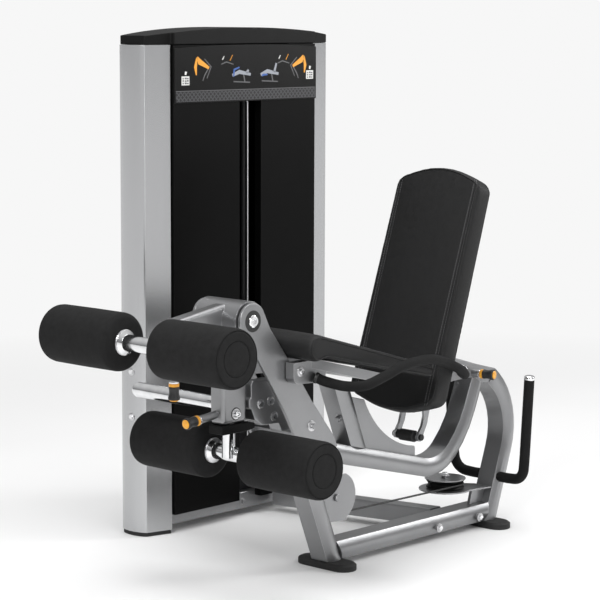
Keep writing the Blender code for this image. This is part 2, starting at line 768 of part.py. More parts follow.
def cable_base():
    """Cable along the floor: front pulley, rear pulley, tower pulley."""
    x, z = FRONT_PULLEY
    r = FRONT_R - 0.006 + CABLE_R + 0.0004
    rx, ry = REAR_PULLEY
    rr = REAR_R - 0.006 + CABLE_R + 0.0004
    points = [(x, 0, z - r)]
    tower = Vector(TOWER_PULLEY[:2])
    leave = (tower - Vector((rx, ry))).normalized()
    out_angle = degrees(atan2(leave.y, leave.x)) - 90
    points += [(rx + rr * cos(radians(a)), ry + rr * sin(radians(a)), REAR_Z)
               for a in (-90 + (out_angle + 90) * i / 12 for i in range(13))]
    return pipe("cable_base", points, CABLE_R, "black", 1)


TOWER_PULLEY = (0.290, 0.554, 0.172)


# ---------------------------------------------------------------- tower

FOOT_TOP = 0.0109


def column_outline(side):
    """Plan of a column: front slanted towards the cover, crowned outer side."""
    inner = TOWER_X + side * COLUMN_IN
    outer = inner + side * COLUMN_W
    front, back = COLUMN_FRONT, COLUMN_FRONT + COLUMN_D
    bulge = 0.010
    half = COLUMN_D / 2 - 0.006
    radius = (half * half + bulge * bulge) / (2 * bulge)
    spread = degrees(atan2(half, radius - bulge))
    middle = (front + back) / 2
    crown = arc((outer - side * radius, middle), radius, -spread, spread, 8)
    if side < 0:
        crown = [(2 * (outer - side * radius) - x, y) for x, y in crown]
    corner = outer - side * (bulge + 0.005)
    return [(inner, COLUMN_NOSE), (corner, front)] + crown + [(corner, back), (inner, back)]


def column(name, side):
    return prism(name, column_outline(side), "z", FOOT_TOP + 2 * GAP, TOWER_TOP, "silver")


def column_foot(name, side):
    """Rubber shoe under a column, a little smaller than its plan."""
    outline = column_outline(side)
    middle_x = TOWER_X + side * (COLUMN_IN + COLUMN_W / 2)
    middle_y = COLUMN_FRONT + COLUMN_D / 2
    shrink = 0.96
    outline = [(middle_x + (x - middle_x) * shrink, middle_y + (y - middle_y) * shrink) for x,
               y in outline]
    return prism(name, outline, "z", 0.0, FOOT_TOP, "rubber")


def top_cap():
    """Arched cover over the tower's top, its plan following the columns and the rear cover."""
    half = COLUMN_IN + COLUMN_W - 0.014
    nose = COLUMN_IN - 0.003
    low, side_top, crown = TOWER_TOP + 2 * GAP, 1.426, 1.448
    rise = crown - side_top
    radius = (half * half + rise * rise) / (2 * rise)
    spread = degrees(atan2(half, radius - rise))
    arch = [(TOWER_X - half - 0.01, low - 0.01), (TOWER_X + half + 0.01, low - 0.01)]
    arch += arc((TOWER_X, crown - radius), radius, 90 - spread, 90 + spread, 14)
    back = COLUMN_FRONT + COLUMN_D - 0.003
    bow = 0.046
    bow_radius = (half * half + bow * bow) / (2 * bow)
    bow_spread = degrees(atan2(half, bow_radius - bow))
    plan = [(TOWER_X - half, COLUMN_FRONT - 0.001), (TOWER_X - nose - 0.002, COLUMN_NOSE - 0.001),
            (TOWER_X - nose, SHROUD_FRONT - 0.0035), (TOWER_X + nose, SHROUD_FRONT - 0.0035),
            (TOWER_X + nose + 0.002, COLUMN_NOSE - 0.001), (TOWER_X + half, COLUMN_FRONT - 0.001)]
    plan += arc((TOWER_X, back + bow - bow_radius), bow_radius, 90 - bow_spread, 90 + bow_spread, 14)
    cap = prism("top_cap", plan, "z", low, crown + 0.01, "black")
    combine(cap, prism("cap_arch", arch, "y", SHROUD_FRONT - 0.1, back + 0.1, "black"), "INTERSECT")
    return round_edges(cap, 0.005, 3)


SHROUD_LOW = 0.055
SHROUD_HIGH = 1.3985
SHEET = 0.003


def shroud_half(name, side):
    """Folded sheet beside the slot: face, outer return and inner return."""
    inner = SLOT_X + side * SLOT_HALF
    outer = TOWER_X + side * (COLUMN_IN - 0.003)
    back = COLUMN_FRONT - 0.006
    outline = [(inner, back), (inner, SHROUD_FRONT), (outer, SHROUD_FRONT), (outer, back),
               (outer - side * SHEET, back), (outer - side * SHEET, SHROUD_FRONT + SHEET),
               (inner + side * SHEET, SHROUD_FRONT + SHEET), (inner + side * SHEET, back)]
    return prism(name, outline, "z", SHROUD_LOW, SHROUD_HIGH, "black")


def front_shroud():
    """Front cover with a slot for the cable; a bridge behind the placard joins its halves."""
    bridge = box("shroud_bridge", (SLOT_X - SLOT_HALF - 0.001, SHROUD_FRONT + 0.0002,
                                   PLACARD_LOW + 0.002),
                 (SLOT_X + SLOT_HALF + 0.001, SHROUD_FRONT + SHEET - 0.0002, SHROUD_HIGH - 0.001),
                 "black")
    return unite(shroud_half("front_shroud", -1), shroud_half("shroud_right", 1), bridge)


def rear_shroud():
    """Bowed cover behind the weight stack."""
    half = COLUMN_IN - 0.002
    back = COLUMN_FRONT + COLUMN_D
    rise = 0.040
    radius = (half * half + rise * rise) / (2 * rise)
    spread = degrees(atan2(half, radius - rise))
    centre = (TOWER_X, back + rise - radius)
    outer = arc(centre, radius, 90 - spread, 90 + spread, 16)
    inner = arc(centre, radius - SHEET, 90 + spread, 90 - spread, 16)
    lip = [(TOWER_X - half, back - 0.020), (TOWER_X - half + SHEET, back - 0.020)]
    other = [(TOWER_X + half - SHEET, back - 0.020), (TOWER_X + half, back - 0.020)]
    inner = [p for p in inner if abs(p[0] - TOWER_X) < half - SHEET]
    outline = outer + lip + inner + other
    return prism("rear_shroud", outline, "z", SHROUD_LOW, SHROUD_HIGH, "black")


PLACARD_LOW = 1.236


def placard_outline(low, high_side, high_middle):
    half = COLUMN_IN - 0.003
    rise = high_middle - high_side
    radius = (half * half + rise * rise) / (2 * rise)
    spread = degrees(atan2(half, radius - rise))
    return [(TOWER_X - half, low), (TOWER_X + half, low)] + arc(
        (TOWER_X, high_middle - radius), radius, 90 - spread, 90 + spread, 10)


def placard():
    """Instruction panel on the front of the tower."""
    outline = placard_outline(PLACARD_LOW, 1.3900, 1.3985)
    return prism("placard", outline, "y", SHROUD_FRONT - 0.005, SHROUD_FRONT - 2 * GAP, "panel")


def tower_base():
    """Cross tube between the two columns near the floor."""
    half = COLUMN_IN - 2 * GAP
    low = (TOWER_X - half, COLUMN_FRONT - 0.004, BASE_LOW)
    high = (TOWER_X + half, COLUMN_FRONT + 0.070, BASE_TOP)
    tube = round_edges(box("tower_base", low, high, "silver"), 0.004, 2)
    return unite(tube, hex_bolt("tower_base_bolt", (0.275, low[1] + 0.0005, 0.042), (0, -1, 0), 0.007))


def tower_beam():
    """Cross beam under the cap that carries the guide rods."""
    half = COLUMN_IN - 2 * GAP
    beam = box("tower_beam", (TOWER_X - half, 0.632, 1.335), (TOWER_X + half, 0.668, 1.385), "silver")
    for i, side in enumerate((-1, 1)):
        x = TOWER_X + side * ROD_SPREAD
        cut(beam, rod("beam_bore_%d" % i, (x, ROD_Y, 1.30), (x, ROD_Y, 1.36), 0.0094, "steel", 20))
    return beam


STACK_LOW = BASE_TOP + 2 * GAP
PLATE = 0.0254
LOWER_PLATES = 11
UPPER_PLATES = 3
STACK_HALF = 0.118
STACK_FRONT = 0.612
STACK_BACK = 0.688
STEM_R = 0.0120


def guide_rod(name, side):
    x = TOWER_X + side * ROD_SPREAD
    return rod(name, (x, ROD_Y, BASE_TOP + 0.0004), (x, ROD_Y, 1.3597), 0.0090, "chrome", 20, 0.001)


def stack_bores(name, low, high, stem_radius):
    cutters = []
    for i, side in enumerate((-1, 1)):
        x = TOWER_X + side * ROD_SPREAD
        cutters.append(rod("%s_rod_bore_%d" % (name, i), (x, ROD_Y, low - 0.01), (x, ROD_Y, high + 0.01),
                           0.0105, "steel", 20))
    cutters.append(rod(name + "_stem_bore", (TOWER_X, ROD_Y, low - 0.01), (TOWER_X, ROD_Y, high + 0.01),
                       stem_radius, "steel", 20))
    return cutters


def plates(name, low, count, stem_radius):
    """Block of weight plates: the outline steps in at each joint between two plates."""
    outline = []
    groove = 0.0012
    for i in range(count):
        z = low + i * PLATE
        outline += [(STACK_FRONT + 0.0015, z), (STACK_FRONT, z + groove), (STACK_FRONT,
                                                                           z + PLATE - groove)]
    high = low + count * PLATE
    outline += [(STACK_FRONT + 0.0015, high), (STACK_BACK - 0.0015, high)]
    outline += [(STACK_BACK, high - groove), (STACK_BACK, low + groove), (STACK_BACK - 0.0015, low)]
    block = prism(name, outline, "x", TOWER_X - STACK_HALF, TOWER_X + STACK_HALF, "iron")
    return cut(block, *stack_bores(name, low, high, stem_radius))


UPPER_LOW = STACK_LOW + LOWER_PLATES * PLATE + 0.0006
HEAD_LOW = UPPER_LOW + UPPER_PLATES * PLATE + 0.0006
HEAD_HIGH = HEAD_LOW + 0.034
PIN_Z = UPPER_LOW + PLATE / 2


def lifted_plates():
    block = plates("lifted_plates", UPPER_LOW, UPPER_PLATES, STEM_R + 0.0015)
    slot = rod("pin_slot", (TOWER_X, 0.60, PIN_Z), (TOWER_X, ROD_Y, PIN_Z), 0.0058, "steel", 16)
    return cut(block, slot)


def head_plate():
    """Top plate of the lifted stack; the selector stem hangs from it."""
    low = (TOWER_X - STACK_HALF, STACK_FRONT - 0.004, HEAD_LOW)
    high = (TOWER_X + STACK_HALF, STACK_BACK + 0.002, HEAD_HIGH)
    block = box("head_plate", low, high, "iron")
    return cut(block, *stack_bores("head", HEAD_LOW, HEAD_HIGH, STEM_R + 0.0003))


def stem():
    """Selector stem down through the stack, with its cable eye on top."""
    top = HEAD_HIGH + 0.040
    low = UPPER_LOW - 6 * PLATE
    profile = [(0, STEM_R - 0.002), (0.002, STEM_R), (HEAD_HIGH - low - 0.002, STEM_R),
               (HEAD_HIGH - low + GAP, STEM_R), (HEAD_HIGH - low + GAP, 0.017), (HEAD_HIGH - low + 0.012,
                                                                                 0.017),
               (HEAD_HIGH - low + 0.014, 0.009), (top - low, 0.007)]
    bar = turned("selector_stem", (TOWER_X, ROD_Y, low), (0, 0, 1), profile, "steel", 20)
    return cut(bar, rod("stem_pin_bore", (TOWER_X, 0.60, PIN_Z), (TOWER_X, 0.70, PIN_Z), 0.0057, "steel",
                        16))


def selector_pin():
    """Pin with a grip, pulled forward to choose the weight."""
    profile = [(0, 0.008), (0.003, 0.0100), (0.018, 0.0100), (0.022, 0.008), (0.030, 0.007),
               (0.030, 0.0050), (0.076, 0.0050), (0.079, 0.003)]
    start = (TOWER_X, STACK_FRONT - 0.0325, PIN_Z)
    return turned("selector_pin", start, (0, 1, 0), profile, "amber", 16, location=(TOWER_X, STACK_FRONT,
                                                                                    PIN_Z))


def top_pulley():
    y = (SHROUD_FRONT + 0.030 + ROD_Y) / 2
    return (TOWER_X, y, 1.290), (ROD_Y - y) + 0.0030


# ---------------------------------------------------------------- lever

SHAFT_R = 0.0127
HUB_R = 0.050
HUB_HALF = 0.0740
ARM_DEEP = 0.088
UPPER_DIR = Vector((-cos(ARM_DROOP), -sin(ARM_DROOP)))
UPPER_END = 0.228       # reach of the outer tube of the upper arm, from the pivot
LOWER_END = 0.447       # height of the lower arm's lower end
COLLAR_LOW = 0.422
SLIDE_R = 0.0175
AXLE_END = 0.300
ROLLER_AXLE_R = 0.0120


def strut(name, side):
    """Plate that carries one end of the lever's shaft."""
    outline = arc(PIVOT, 0.046, 35, 205, 12)
    outline += [(-0.366, 0.626), (-0.259, 0.465), (-0.206, 0.372), (-0.190, 0.352)]
    outline += [(-0.078, 0.330), (-0.058, 0.352), (-0.070, 0.380), (-0.159, 0.488), (-0.194, 0.536),
                (-0.315, 0.692)]
    low, high = sorted((side * (STRUT_OUT - STRUT_THICK), side * STRUT_OUT))
    plate = round_edges(prism(name, outline, "y", low, high, "silver"), 0.0015, 1)
    shaft = rod(name + "_bore", (PIVOT[0], -0.1, PIVOT[1]), (PIVOT[0], 0.1, PIVOT[1]), SHAFT_R + GAP,
                "steel", ROUND)
    cut(plate, shaft)
    heads = [hex_bolt("%s_bolt_%d" % (name, i), (x, side * (STRUT_OUT - 0.0005), z), (0, side, 0), 0.0085)
             for i, (x, z) in enumerate([(-0.160, 0.420)])]
    return unite(plate, *heads)


def strut_spacer():
    """Cross block on the knee that the struts bolt to."""
    def rail_top(x):
        return rail_z(x) + RAIL_HALF + 2 * GAP

    front = -0.1755
    outline = [(front, rail_top(front)), (-0.066, rail_top(-0.066)), (-0.092, 0.404), (-0.205, 0.404),
               (-0.202, 0.392)]
    half = STRUT_OUT - STRUT_THICK - GAP
    return prism("strut_spacer", outline, "y", -half, half, "silver")


def pivot_shaft():
    out = STRUT_OUT + GAP
    profile = [(0, 0.0135), (0.002, 0.0165), (0.005, 0.0165), (0.005, SHAFT_R), (0.005 + 2 * out,
                                                                                 SHAFT_R),
               (0.005 + 2 * out, 0.0165), (0.008 + 2 * out, 0.0165), (0.010 + 2 * out, 0.0135)]
    return turned("pivot_shaft", (PIVOT[0], -out - 0.005, PIVOT[1]), (0, 1, 0), profile, "chrome", ROUND)


def along_upper(reach, rise=0.0):
    """Point (x, z) on the upper arm: distance from the pivot and height over its centre line."""
    across = Vector((-UPPER_DIR.y, UPPER_DIR.x)) * -1
    return Vector(PIVOT) + UPPER_DIR * reach + across * rise


def neck(name, start, direction, length, radius=0.0105):
    return rod(name, start, Vector(start) + Vector(direction).normalized() * length, radius, "silver", 20)


UPPER_PIN = (-0.573, 0.640)
UPPER_PIN_END = 0.5775
LOWER_PIN = (-0.424, 0.474)
LOWER_PIN_DIR = Vector((-1, 0, -0.10)).normalized()
LOWER_PIN_NECK = 0.062
PIN_R = 0.0050


def lever_arm():
    """Welded lever: hub on the pivot, upper and lower arm, and the necks of two pull pins."""
    x, z = PIVOT
    hub_profile = [(0, 0.030), (0.003, 0.030), (0.003, HUB_R), (0.003 + 2 * HUB_HALF, HUB_R),
                   (0.003 + 2 * HUB_HALF, 0.030), (0.006 + 2 * HUB_HALF, 0.030)]
    lever = turned("lever_arm", (x, -HUB_HALF - 0.003, z), (0, 1, 0), hub_profile, "silver", 32,
                   location=(x, 0, z))
    half = ARM_DEEP / 2
    upper = [tuple(along_upper(r, h)) for r, h in ((0.0, half), (UPPER_END, half - 0.003), (UPPER_END,
                                                                                            -half + 0.003),
                                                   (0.0, -half))]
    upper_arm = prism("upper_arm", upper, "y", -LEVER_HALF, LEVER_HALF, "silver")
    round_edges(upper_arm, 0.012, 3)
    lower = [(x - half - 0.001, LOWER_END), (x + half - 0.001, LOWER_END), (x + half - 0.001, z),
             (x - half - 0.001, z)]
    lower_arm = prism("lower_arm", lower, "y", -LEVER_HALF, LEVER_HALF, "silver")
    round_edges(lower_arm, 0.012, 3)
    upper_neck = neck("upper_neck", (UPPER_PIN[0], 0, UPPER_PIN[1] + 0.012), (0, 0, -1),
                      UPPER_PIN[1] + 0.012 - UPPER_PIN_END)
    start = Vector((LOWER_PIN[0], 0, LOWER_PIN[1])) - LOWER_PIN_DIR * 0.006
    lower_neck = neck("lower_neck", start, LOWER_PIN_DIR, LOWER_PIN_NECK + 0.006)
    unite(lever, upper_arm, lower_arm, upper_neck, lower_neck)
    bores = [rod("hub_bore", (x, -0.1, z), (x, 0.1, z), bore_for(SHAFT_R), "steel", ROUND)]
    inner, outer = along_upper(0.074), along_upper(0.300)
    bores.append(rod("upper_slide_bore", (inner.x, 0, inner.y), (outer.x, 0, outer.y), SLIDE_R + GAP,
                     "steel", ROUND))
    bores.append(rod("lower_slide_bore", (LOWER_AXIS_X, 0, 0.626), (LOWER_AXIS_X, 0, 0.40), SLIDE_R + GAP,
                     "steel", ROUND))
    bores.append(rod("upper_pin_bore", (UPPER_PIN[0], 0, UPPER_PIN_END - 0.01), (UPPER_PIN[0], 0, 0.672),
                     PIN_R + GAP, "steel", 16))
    bores.append(rod("lower_pin_bore", start - LOWER_PIN_DIR * 0.03, start + LOWER_PIN_DIR * 0.1,
                     PIN_R + GAP, "steel", 16))
    return cut(lever, *bores)


LOWER_AXIS_X = -0.3800


def lever_collar():
    """Black collar under the lower arm, with a tail towards the rear."""
    half = ARM_DEEP / 2
    x = PIVOT[0]
    low, high = COLLAR_LOW, LOWER_END - 2 * GAP
    outline = [(x - half - 0.003, low), (x + half, low), (x + half + 0.028, low + 0.004),
               (x + half + 0.028, high - 0.006), (x + half, high), (x - half - 0.003, high)]
    collar = prism("lever_collar", outline, "y", -LEVER_HALF, LEVER_HALF, "black", location=(PIVOT[0], 0,
                                                                                             PIVOT[1]))
    round_edges(collar, 0.003, 2)
    return cut(collar, rod("collar_bore", (LOWER_AXIS_X, 0, 0.40), (LOWER_AXIS_X, 0, 0.50), SLIDE_R + GAP,
                           "steel", ROUND))


def side_bar():
    """Round bar that sticks out sideways from the lower arm."""
    start = LEVER_HALF + GAP
    profile = [(0, 0.0205), (0.318 - start + 0.022, 0.0205), (0.318 - start + 0.029, 0.0170)]
    return turned("side_bar", (-0.378, start, 0.492), (0, 1, 0), profile, "chrome", 24,
                  location=(PIVOT[0], 0, PIVOT[1]))


def roller_slide(name, axle, inner, outer):
    """Chrome tube that slides in an arm, with the cross axle of two rollers."""
    x, z = axle
    flange = ROLLER_IN - 0.0008
    profile = [(-AXLE_END, ROLLER_AXLE_R - 0.001), (-AXLE_END + 0.001, ROLLER_AXLE_R),
               (-flange, ROLLER_AXLE_R),
               (-flange, 0.030), (-flange + 0.006, 0.032), (-flange + 0.014, 0.022), (-0.030, 0.020)]
    profile += [(-along, radius) for along, radius in reversed(profile)]
    hub = turned(name, (x, 0, z), (0, 1, 0), profile, "chrome", ROUND, location=(x, 0, z))
    bar = rod(name + "_bar", (inner[0], 0, inner[1]), (outer[0], 0, outer[1]), SLIDE_R, "chrome", ROUND)
    return unite(hub, bar)


def roller(name, axle, side):
    """Foam roller on its axle; the outer end has a raised rim round a shallow recess."""
    length = ROLLER_OUT - ROLLER_IN
    profile = [(0, 0.062), (0.004, 0.0705), (0.012, ROLLER_R), (length - 0.012, ROLLER_R),
               (length - 0.004, 0.0715),
               (length, 0.066), (length, 0.0445), (length - 0.003, 0.0425)]
    body = turned(name, (axle[0], side * ROLLER_IN, axle[1]), (0, side, 0), profile, "foam", 32,
                  location=(axle[0], 0, axle[1]))
    ends = sorted((side * (ROLLER_IN - 0.02), side * (AXLE_END + 0.004)))
    bore = rod(name + "_bore", (axle[0], ends[0], axle[1]), (axle[0], ends[1], axle[1]),
               bore_for(ROLLER_AXLE_R), "steel", ROUND)
    return cut(body, bore)


def pull_pin(name, base, direction, depth):
    """Spring pin with a waisted knob; base is the face of its neck, depth how far the pin reaches in."""
    profile = [(-depth, PIN_R - 0.001), (-depth + 0.001, PIN_R), (GAP, PIN_R), (GAP, 0.0125),
               (0.004, 0.0130),
               (0.012, 0.0130), (0.016, 0.0122), (0.022, 0.0112), (0.030, 0.0112), (0.035, 0.0125),
               (0.044, 0.0130), (0.048, 0.0120), (0.050, 0.0090)]
    return turned(name, base, direction, profile, "amber", 20, location=tuple(base))


def stop_bracket():
    """Block behind the lower arm that the lever rests against, with its rubber buffer face."""
    outline = [(-0.095, 0.4000), (-0.150, 0.500), (-0.235, 0.546), (-0.262, 0.545), (-0.312, 0.549),
               (-0.319, 0.540),
               (-0.319, 0.505), (-0.327, 0.500), (-0.327, 0.480), (-0.318, 0.476), (-0.305, 0.446),
               (-0.277, 0.4285),
               (-0.216, 0.426), (-0.202, 0.4000)]
    block = round_edges(prism("stop_bracket", outline, "y", -0.022, 0.022, "silver"), 0.003, 2)
    heads = [hex_bolt("stop_head_%d" % i, (x, -0.0215, z), (0, -1, 0), 0.0062)
             for i, (x, z) in enumerate(((-0.284, 0.486), (-0.247, 0.489), (-0.234, 0.447)))]
    return unite(block, *heads)


# ---------------------------------------------------------------- assembly

def build_frame():
    base_tube()
    front_leg()
    seat_rail()
    seat_post()
    gusset()
    rear_upright()
    diagonal_beam()
    housing, housing_bore = pin_housing()
    cut(unite(top_bracket(), handle_socket(-1), handle_socket(1), housing), housing_bore)
    foot("front_foot", 0.0, 0.0, 0.095, 0.036)
    foot("rear_foot", 0.678, 0.0, 0.095, 0.036)
    for name, side in (("tower_foot_front", -1), ("tower_foot_rear", 1)):
        column_foot(name, side)
    strut("strut_near", -1)
    strut("strut_far", 1)
    unite(strut_spacer(), stop_bracket())
    pivot_shaft()
    side_handle("side_handle_near", -1)
    side_handle("side_handle_far", 1)
    rear_handle()


def build_seat():
    seat_pan()
    seat_pad()
    back_pad()
    near, far = back_link("back_link_near", -1), back_link("back_link_far", 1)
    unite(back_plate(), near, far)
    hinge_pin()
    unite(stop_bumper(), stop_bolt())


def build_pulleys():
    x, z = FRONT_PULLEY
    pulley("front_pulley", (x, 0, z), (0, 1, 0), FRONT_R, bore_for(AXLE_R))
    near = front_pulley_cover("front_cover_near", -1)
    far = front_pulley_cover("front_cover_far", 1)
    cut(far, rod("front_axle_bore", (x, -0.05, z), (x, 0.05, z), AXLE_R + GAP, "steel", ROUND))
    unite(near, pulley_axle("front_axle", (x, 0, z), (0, 1, 0), 0.0185))
    x, y = REAR_PULLEY
    pulley("rear_pulley", (x, y, REAR_Z), (0, 0, 1), REAR_R, bore_for(AXLE_R))
    top, low = rear_pulley_plates()
    half = (REAR_TOP_PLATE_Z + 0.003 - REAR_LOW_PLATE_Z) / 2
    unite(top, pulley_axle("rear_axle", (x, y, REAR_LOW_PLATE_Z + half), (0, 0, 1), half))
    unite(low, base_gusset())
    cable_base()
    centre, radius = top_pulley()
    pulley("top_pulley", centre, (1, 0, 0), radius, bore_for(AXLE_R))


def build_tower():
    column("column_front", -1)
    column("column_rear", 1)
    front_shroud()
    rear_shroud()
    top_cap()
    placard()
    tower_base()
    tower_beam()
    guide_rod("guide_rod_front", -1)
    guide_rod("guide_rod_rear", 1)
    plates("lower_plates", STACK_LOW, LOWER_PLATES, STEM_R + 0.0015)
    lifted_plates()
    head_plate()
    stem()
    selector_pin()


def build_lever():
    lever_arm()
    lever_collar()
    side_bar()
    inner = along_upper(0.100)
    roller_slide("upper_slide", UPPER_AXLE, inner, UPPER_AXLE)
    roller_slide("lower_slide", LOWER_AXLE, (LOWER_AXIS_X, 0.590), (LOWER_AXIS_X, 0.356))
    for name, axle in (("upper", UPPER_AXLE), ("lower", LOWER_AXLE)):
        roller(name + "_roller_near", axle, -1)
        roller(name + "_roller_far", axle, 1)
    pull_pin("upper_pin", (UPPER_PIN[0], 0, UPPER_PIN_END), (0, 0, -1), 0.062)
    base = Vector((LOWER_PIN[0], 0, LOWER_PIN[1])) + LOWER_PIN_DIR * LOWER_PIN_NECK
    pull_pin("lower_pin", base, LOWER_PIN_DIR, 0.062)
    pull_pin("back_pin", BACK_PIN, BACK_PIN_DIR, 0.040)


build_frame()
build_seat()
build_pulleys()
build_tower()
build_lever()
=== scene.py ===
"""Looks of the dual leg curl and leg extension machine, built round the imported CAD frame."""
import json
from math import cos, pi, radians, sin

import bmesh
import bpy
from mathutils import Matrix, Vector
from mathutils.bvhtree import BVHTree
from mathutils.kdtree import KDTree


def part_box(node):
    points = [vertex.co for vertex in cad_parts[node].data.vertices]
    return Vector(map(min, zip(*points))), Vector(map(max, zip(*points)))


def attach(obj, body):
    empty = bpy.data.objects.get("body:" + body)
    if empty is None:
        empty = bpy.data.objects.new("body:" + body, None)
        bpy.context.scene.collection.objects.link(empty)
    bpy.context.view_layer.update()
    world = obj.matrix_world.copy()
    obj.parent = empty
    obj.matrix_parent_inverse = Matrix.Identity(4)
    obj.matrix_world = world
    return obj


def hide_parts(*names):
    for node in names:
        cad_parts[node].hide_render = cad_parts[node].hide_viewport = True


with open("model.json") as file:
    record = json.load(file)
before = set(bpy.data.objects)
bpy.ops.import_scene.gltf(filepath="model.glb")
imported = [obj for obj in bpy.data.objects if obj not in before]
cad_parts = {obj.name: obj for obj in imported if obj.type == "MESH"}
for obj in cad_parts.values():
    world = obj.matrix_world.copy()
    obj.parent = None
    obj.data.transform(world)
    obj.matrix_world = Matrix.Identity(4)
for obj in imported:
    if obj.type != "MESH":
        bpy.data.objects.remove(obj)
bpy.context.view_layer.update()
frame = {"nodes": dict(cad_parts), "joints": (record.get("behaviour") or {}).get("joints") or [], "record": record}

NODES = frame["nodes"]
BODY_OF = {node: body for body, group in frame["record"]["behaviour"]["bodies"].items() for node in group}
JOINTS = {joint["name"]: joint for joint in frame["joints"]}


# ---------------------------------------------------------------- shader tools

class Shader:
    """Node tree builder for one procedural material."""

    def __init__(self, name):
        self.material = bpy.data.materials.new(name)
        self.material.use_nodes = True
        self.tree = self.material.node_tree
        self.surface = self.tree.nodes["Principled BSDF"]
        self.position = self.add("ShaderNodeTexCoord").outputs["Object"]

    def add(self, kind, **settings):
        made = self.tree.nodes.new(kind)
        for key, value in settings.items():
            setattr(made, key, value)
        return made

    def link(self, source, target):
        self.tree.links.new(source, target)

    def set(self, name, value):
        socket = self.surface.inputs[name]
        if isinstance(value, bpy.types.NodeSocket):
            self.link(value, socket)
        else:
            socket.default_value = value

    def stretched(self, scale):
        """Object coordinates scaled per axis, for grain that runs along one direction."""
        mapping = self.add("ShaderNodeMapping")
        mapping.inputs["Scale"].default_value = scale
        self.link(self.position, mapping.inputs["Vector"])
        return mapping.outputs["Vector"]

    def noise(self, scale, detail=3.0, rough=0.5, vector=None):
        texture = self.add("ShaderNodeTexNoise")
        texture.inputs["Scale"].default_value = scale
        texture.inputs["Detail"].default_value = detail
        texture.inputs["Roughness"].default_value = rough
        self.link(vector or self.position, texture.inputs["Vector"])
        return texture.outputs["Fac"]

    def cells(self, scale, feature="DISTANCE_TO_EDGE"):
        texture = self.add("ShaderNodeTexVoronoi", feature=feature)
        texture.inputs["Scale"].default_value = scale
        self.link(self.position, texture.inputs["Vector"])
        return texture.outputs["Distance"]

    def ramp(self, factor, low, high, first, second):
        """Map factor between low and high to a blend of two colours or two numbers."""
        if isinstance(first, (int, float)):
            mapped = self.add("ShaderNodeMapRange")
            for name, value in (("From Min", low), ("From Max", high), ("To Min", first),
                                ("To Max", second)):
                mapped.inputs[name].default_value = value
            self.link(factor, mapped.inputs["Value"])
            return mapped.outputs["Result"]
        ramp = self.add("ShaderNodeValToRGB")
        ends = ramp.color_ramp.elements
        ends[0].position, ends[1].position = low, high
        ends[0].color, ends[1].color = (*first, 1), (*second, 1)
        self.link(factor, ramp.inputs["Fac"])
        return ramp.outputs["Color"]

    def mix(self, factor, first, second, blend="MIX"):
        mixer = self.add("ShaderNodeMix", data_type="RGBA", blend_type=blend)
        for name, value in (("Factor", factor), ("A", first), ("B", second)):
            socket = [s for s in mixer.inputs if s.name == name and s.enabled][0]
            if isinstance(value, bpy.types.NodeSocket):
                self.link(value, socket)
            elif isinstance(value, tuple):
                socket.default_value = (*value, 1)
            else:
                socket.default_value = value
        return [s for s in mixer.outputs if s.enabled][0]

    def bump(self, *layers):
        """Stack bumps of (height, strength, distance in metres)."""
        normal = None
        for height, strength, distance in layers:
            node = self.add("ShaderNodeBump")
            node.inputs["Strength"].default_value = strength
            node.inputs["Distance"].default_value = distance
            self.link(height, node.inputs["Height"])
            if normal:
                self.link(normal, node.inputs["Normal"])
            normal = node.outputs["Normal"]
        self.link(normal, self.surface.inputs["Normal"])

    def edge_wear(self, radius=0.002):
        """1 on worn convex edges, from the difference between a rounded and the true normal."""
        bevel = self.add("ShaderNodeBevel", samples=4)
        bevel.inputs["Radius"].default_value = radius
        geometry = self.add("ShaderNodeNewGeometry")
        dot = self.add("ShaderNodeVectorMath", operation="DOT_PRODUCT")
        self.link(bevel.outputs["Normal"], dot.inputs[0])
        self.link(geometry.outputs["Normal"], dot.inputs[1])
        return self.ramp(dot.outputs["Value"], 0.90, 0.995, 1.0, 0.0)


def powder_coat(name, dark, light):
    """Metallic silver powder coat: fine flake, faint orange peel and slight cloudiness."""
    rough = 0.34
    s = Shader(name)
    cloud = s.noise(7, 3)
    flake = s.noise(2600, 1)
    base = s.ramp(cloud, 0.3, 0.7, dark, light)
    sparkle = s.ramp(flake, 0.45, 0.75, (0.0, 0.0, 0.0), (0.16, 0.16, 0.165))
    painted = s.mix(0.5, base, sparkle, "ADD")
    s.set("Base Color", s.mix(s.edge_wear(0.0012), painted, (0.66, 0.66, 0.67)))
    s.set("Metallic", 0.85)
    s.set("Roughness", s.ramp(s.noise(900, 2), 0.3, 0.7, rough - 0.05, rough + 0.06))
    s.set("Coat Weight", 0.25)
    s.set("Coat Roughness", 0.22)
    s.bump((s.noise(420, 2), 0.10, 0.0006), (flake, 0.06, 0.0002))
    return s.material


def column_metal():
    """Satin extruded columns with fine upright brushing."""
    s = Shader("column_metal")
    brushing = s.noise(1.0, 3, 0.6, s.stretched((1500, 1500, 5)))
    s.set("Base Color", s.ramp(brushing, 0.25, 0.75, (0.46, 0.464, 0.472), (0.53, 0.534, 0.542)))
    s.set("Metallic", 0.9)
    s.set("Roughness", s.ramp(brushing, 0.2, 0.8, 0.19, 0.26))
    s.bump((brushing, 0.05, 0.0002))
    return s.material


def chrome():
    s = Shader("chrome")
    smear = s.noise(38, 4)
    s.set("Base Color", s.ramp(smear, 0.3, 0.7, (0.74, 0.75, 0.76), (0.86, 0.86, 0.87)))
    s.set("Metallic", 1.0)
    s.set("Roughness", s.ramp(smear, 0.35, 0.7, 0.07, 0.17))
    s.bump((s.noise(300, 2), 0.03, 0.0002))
    return s.material


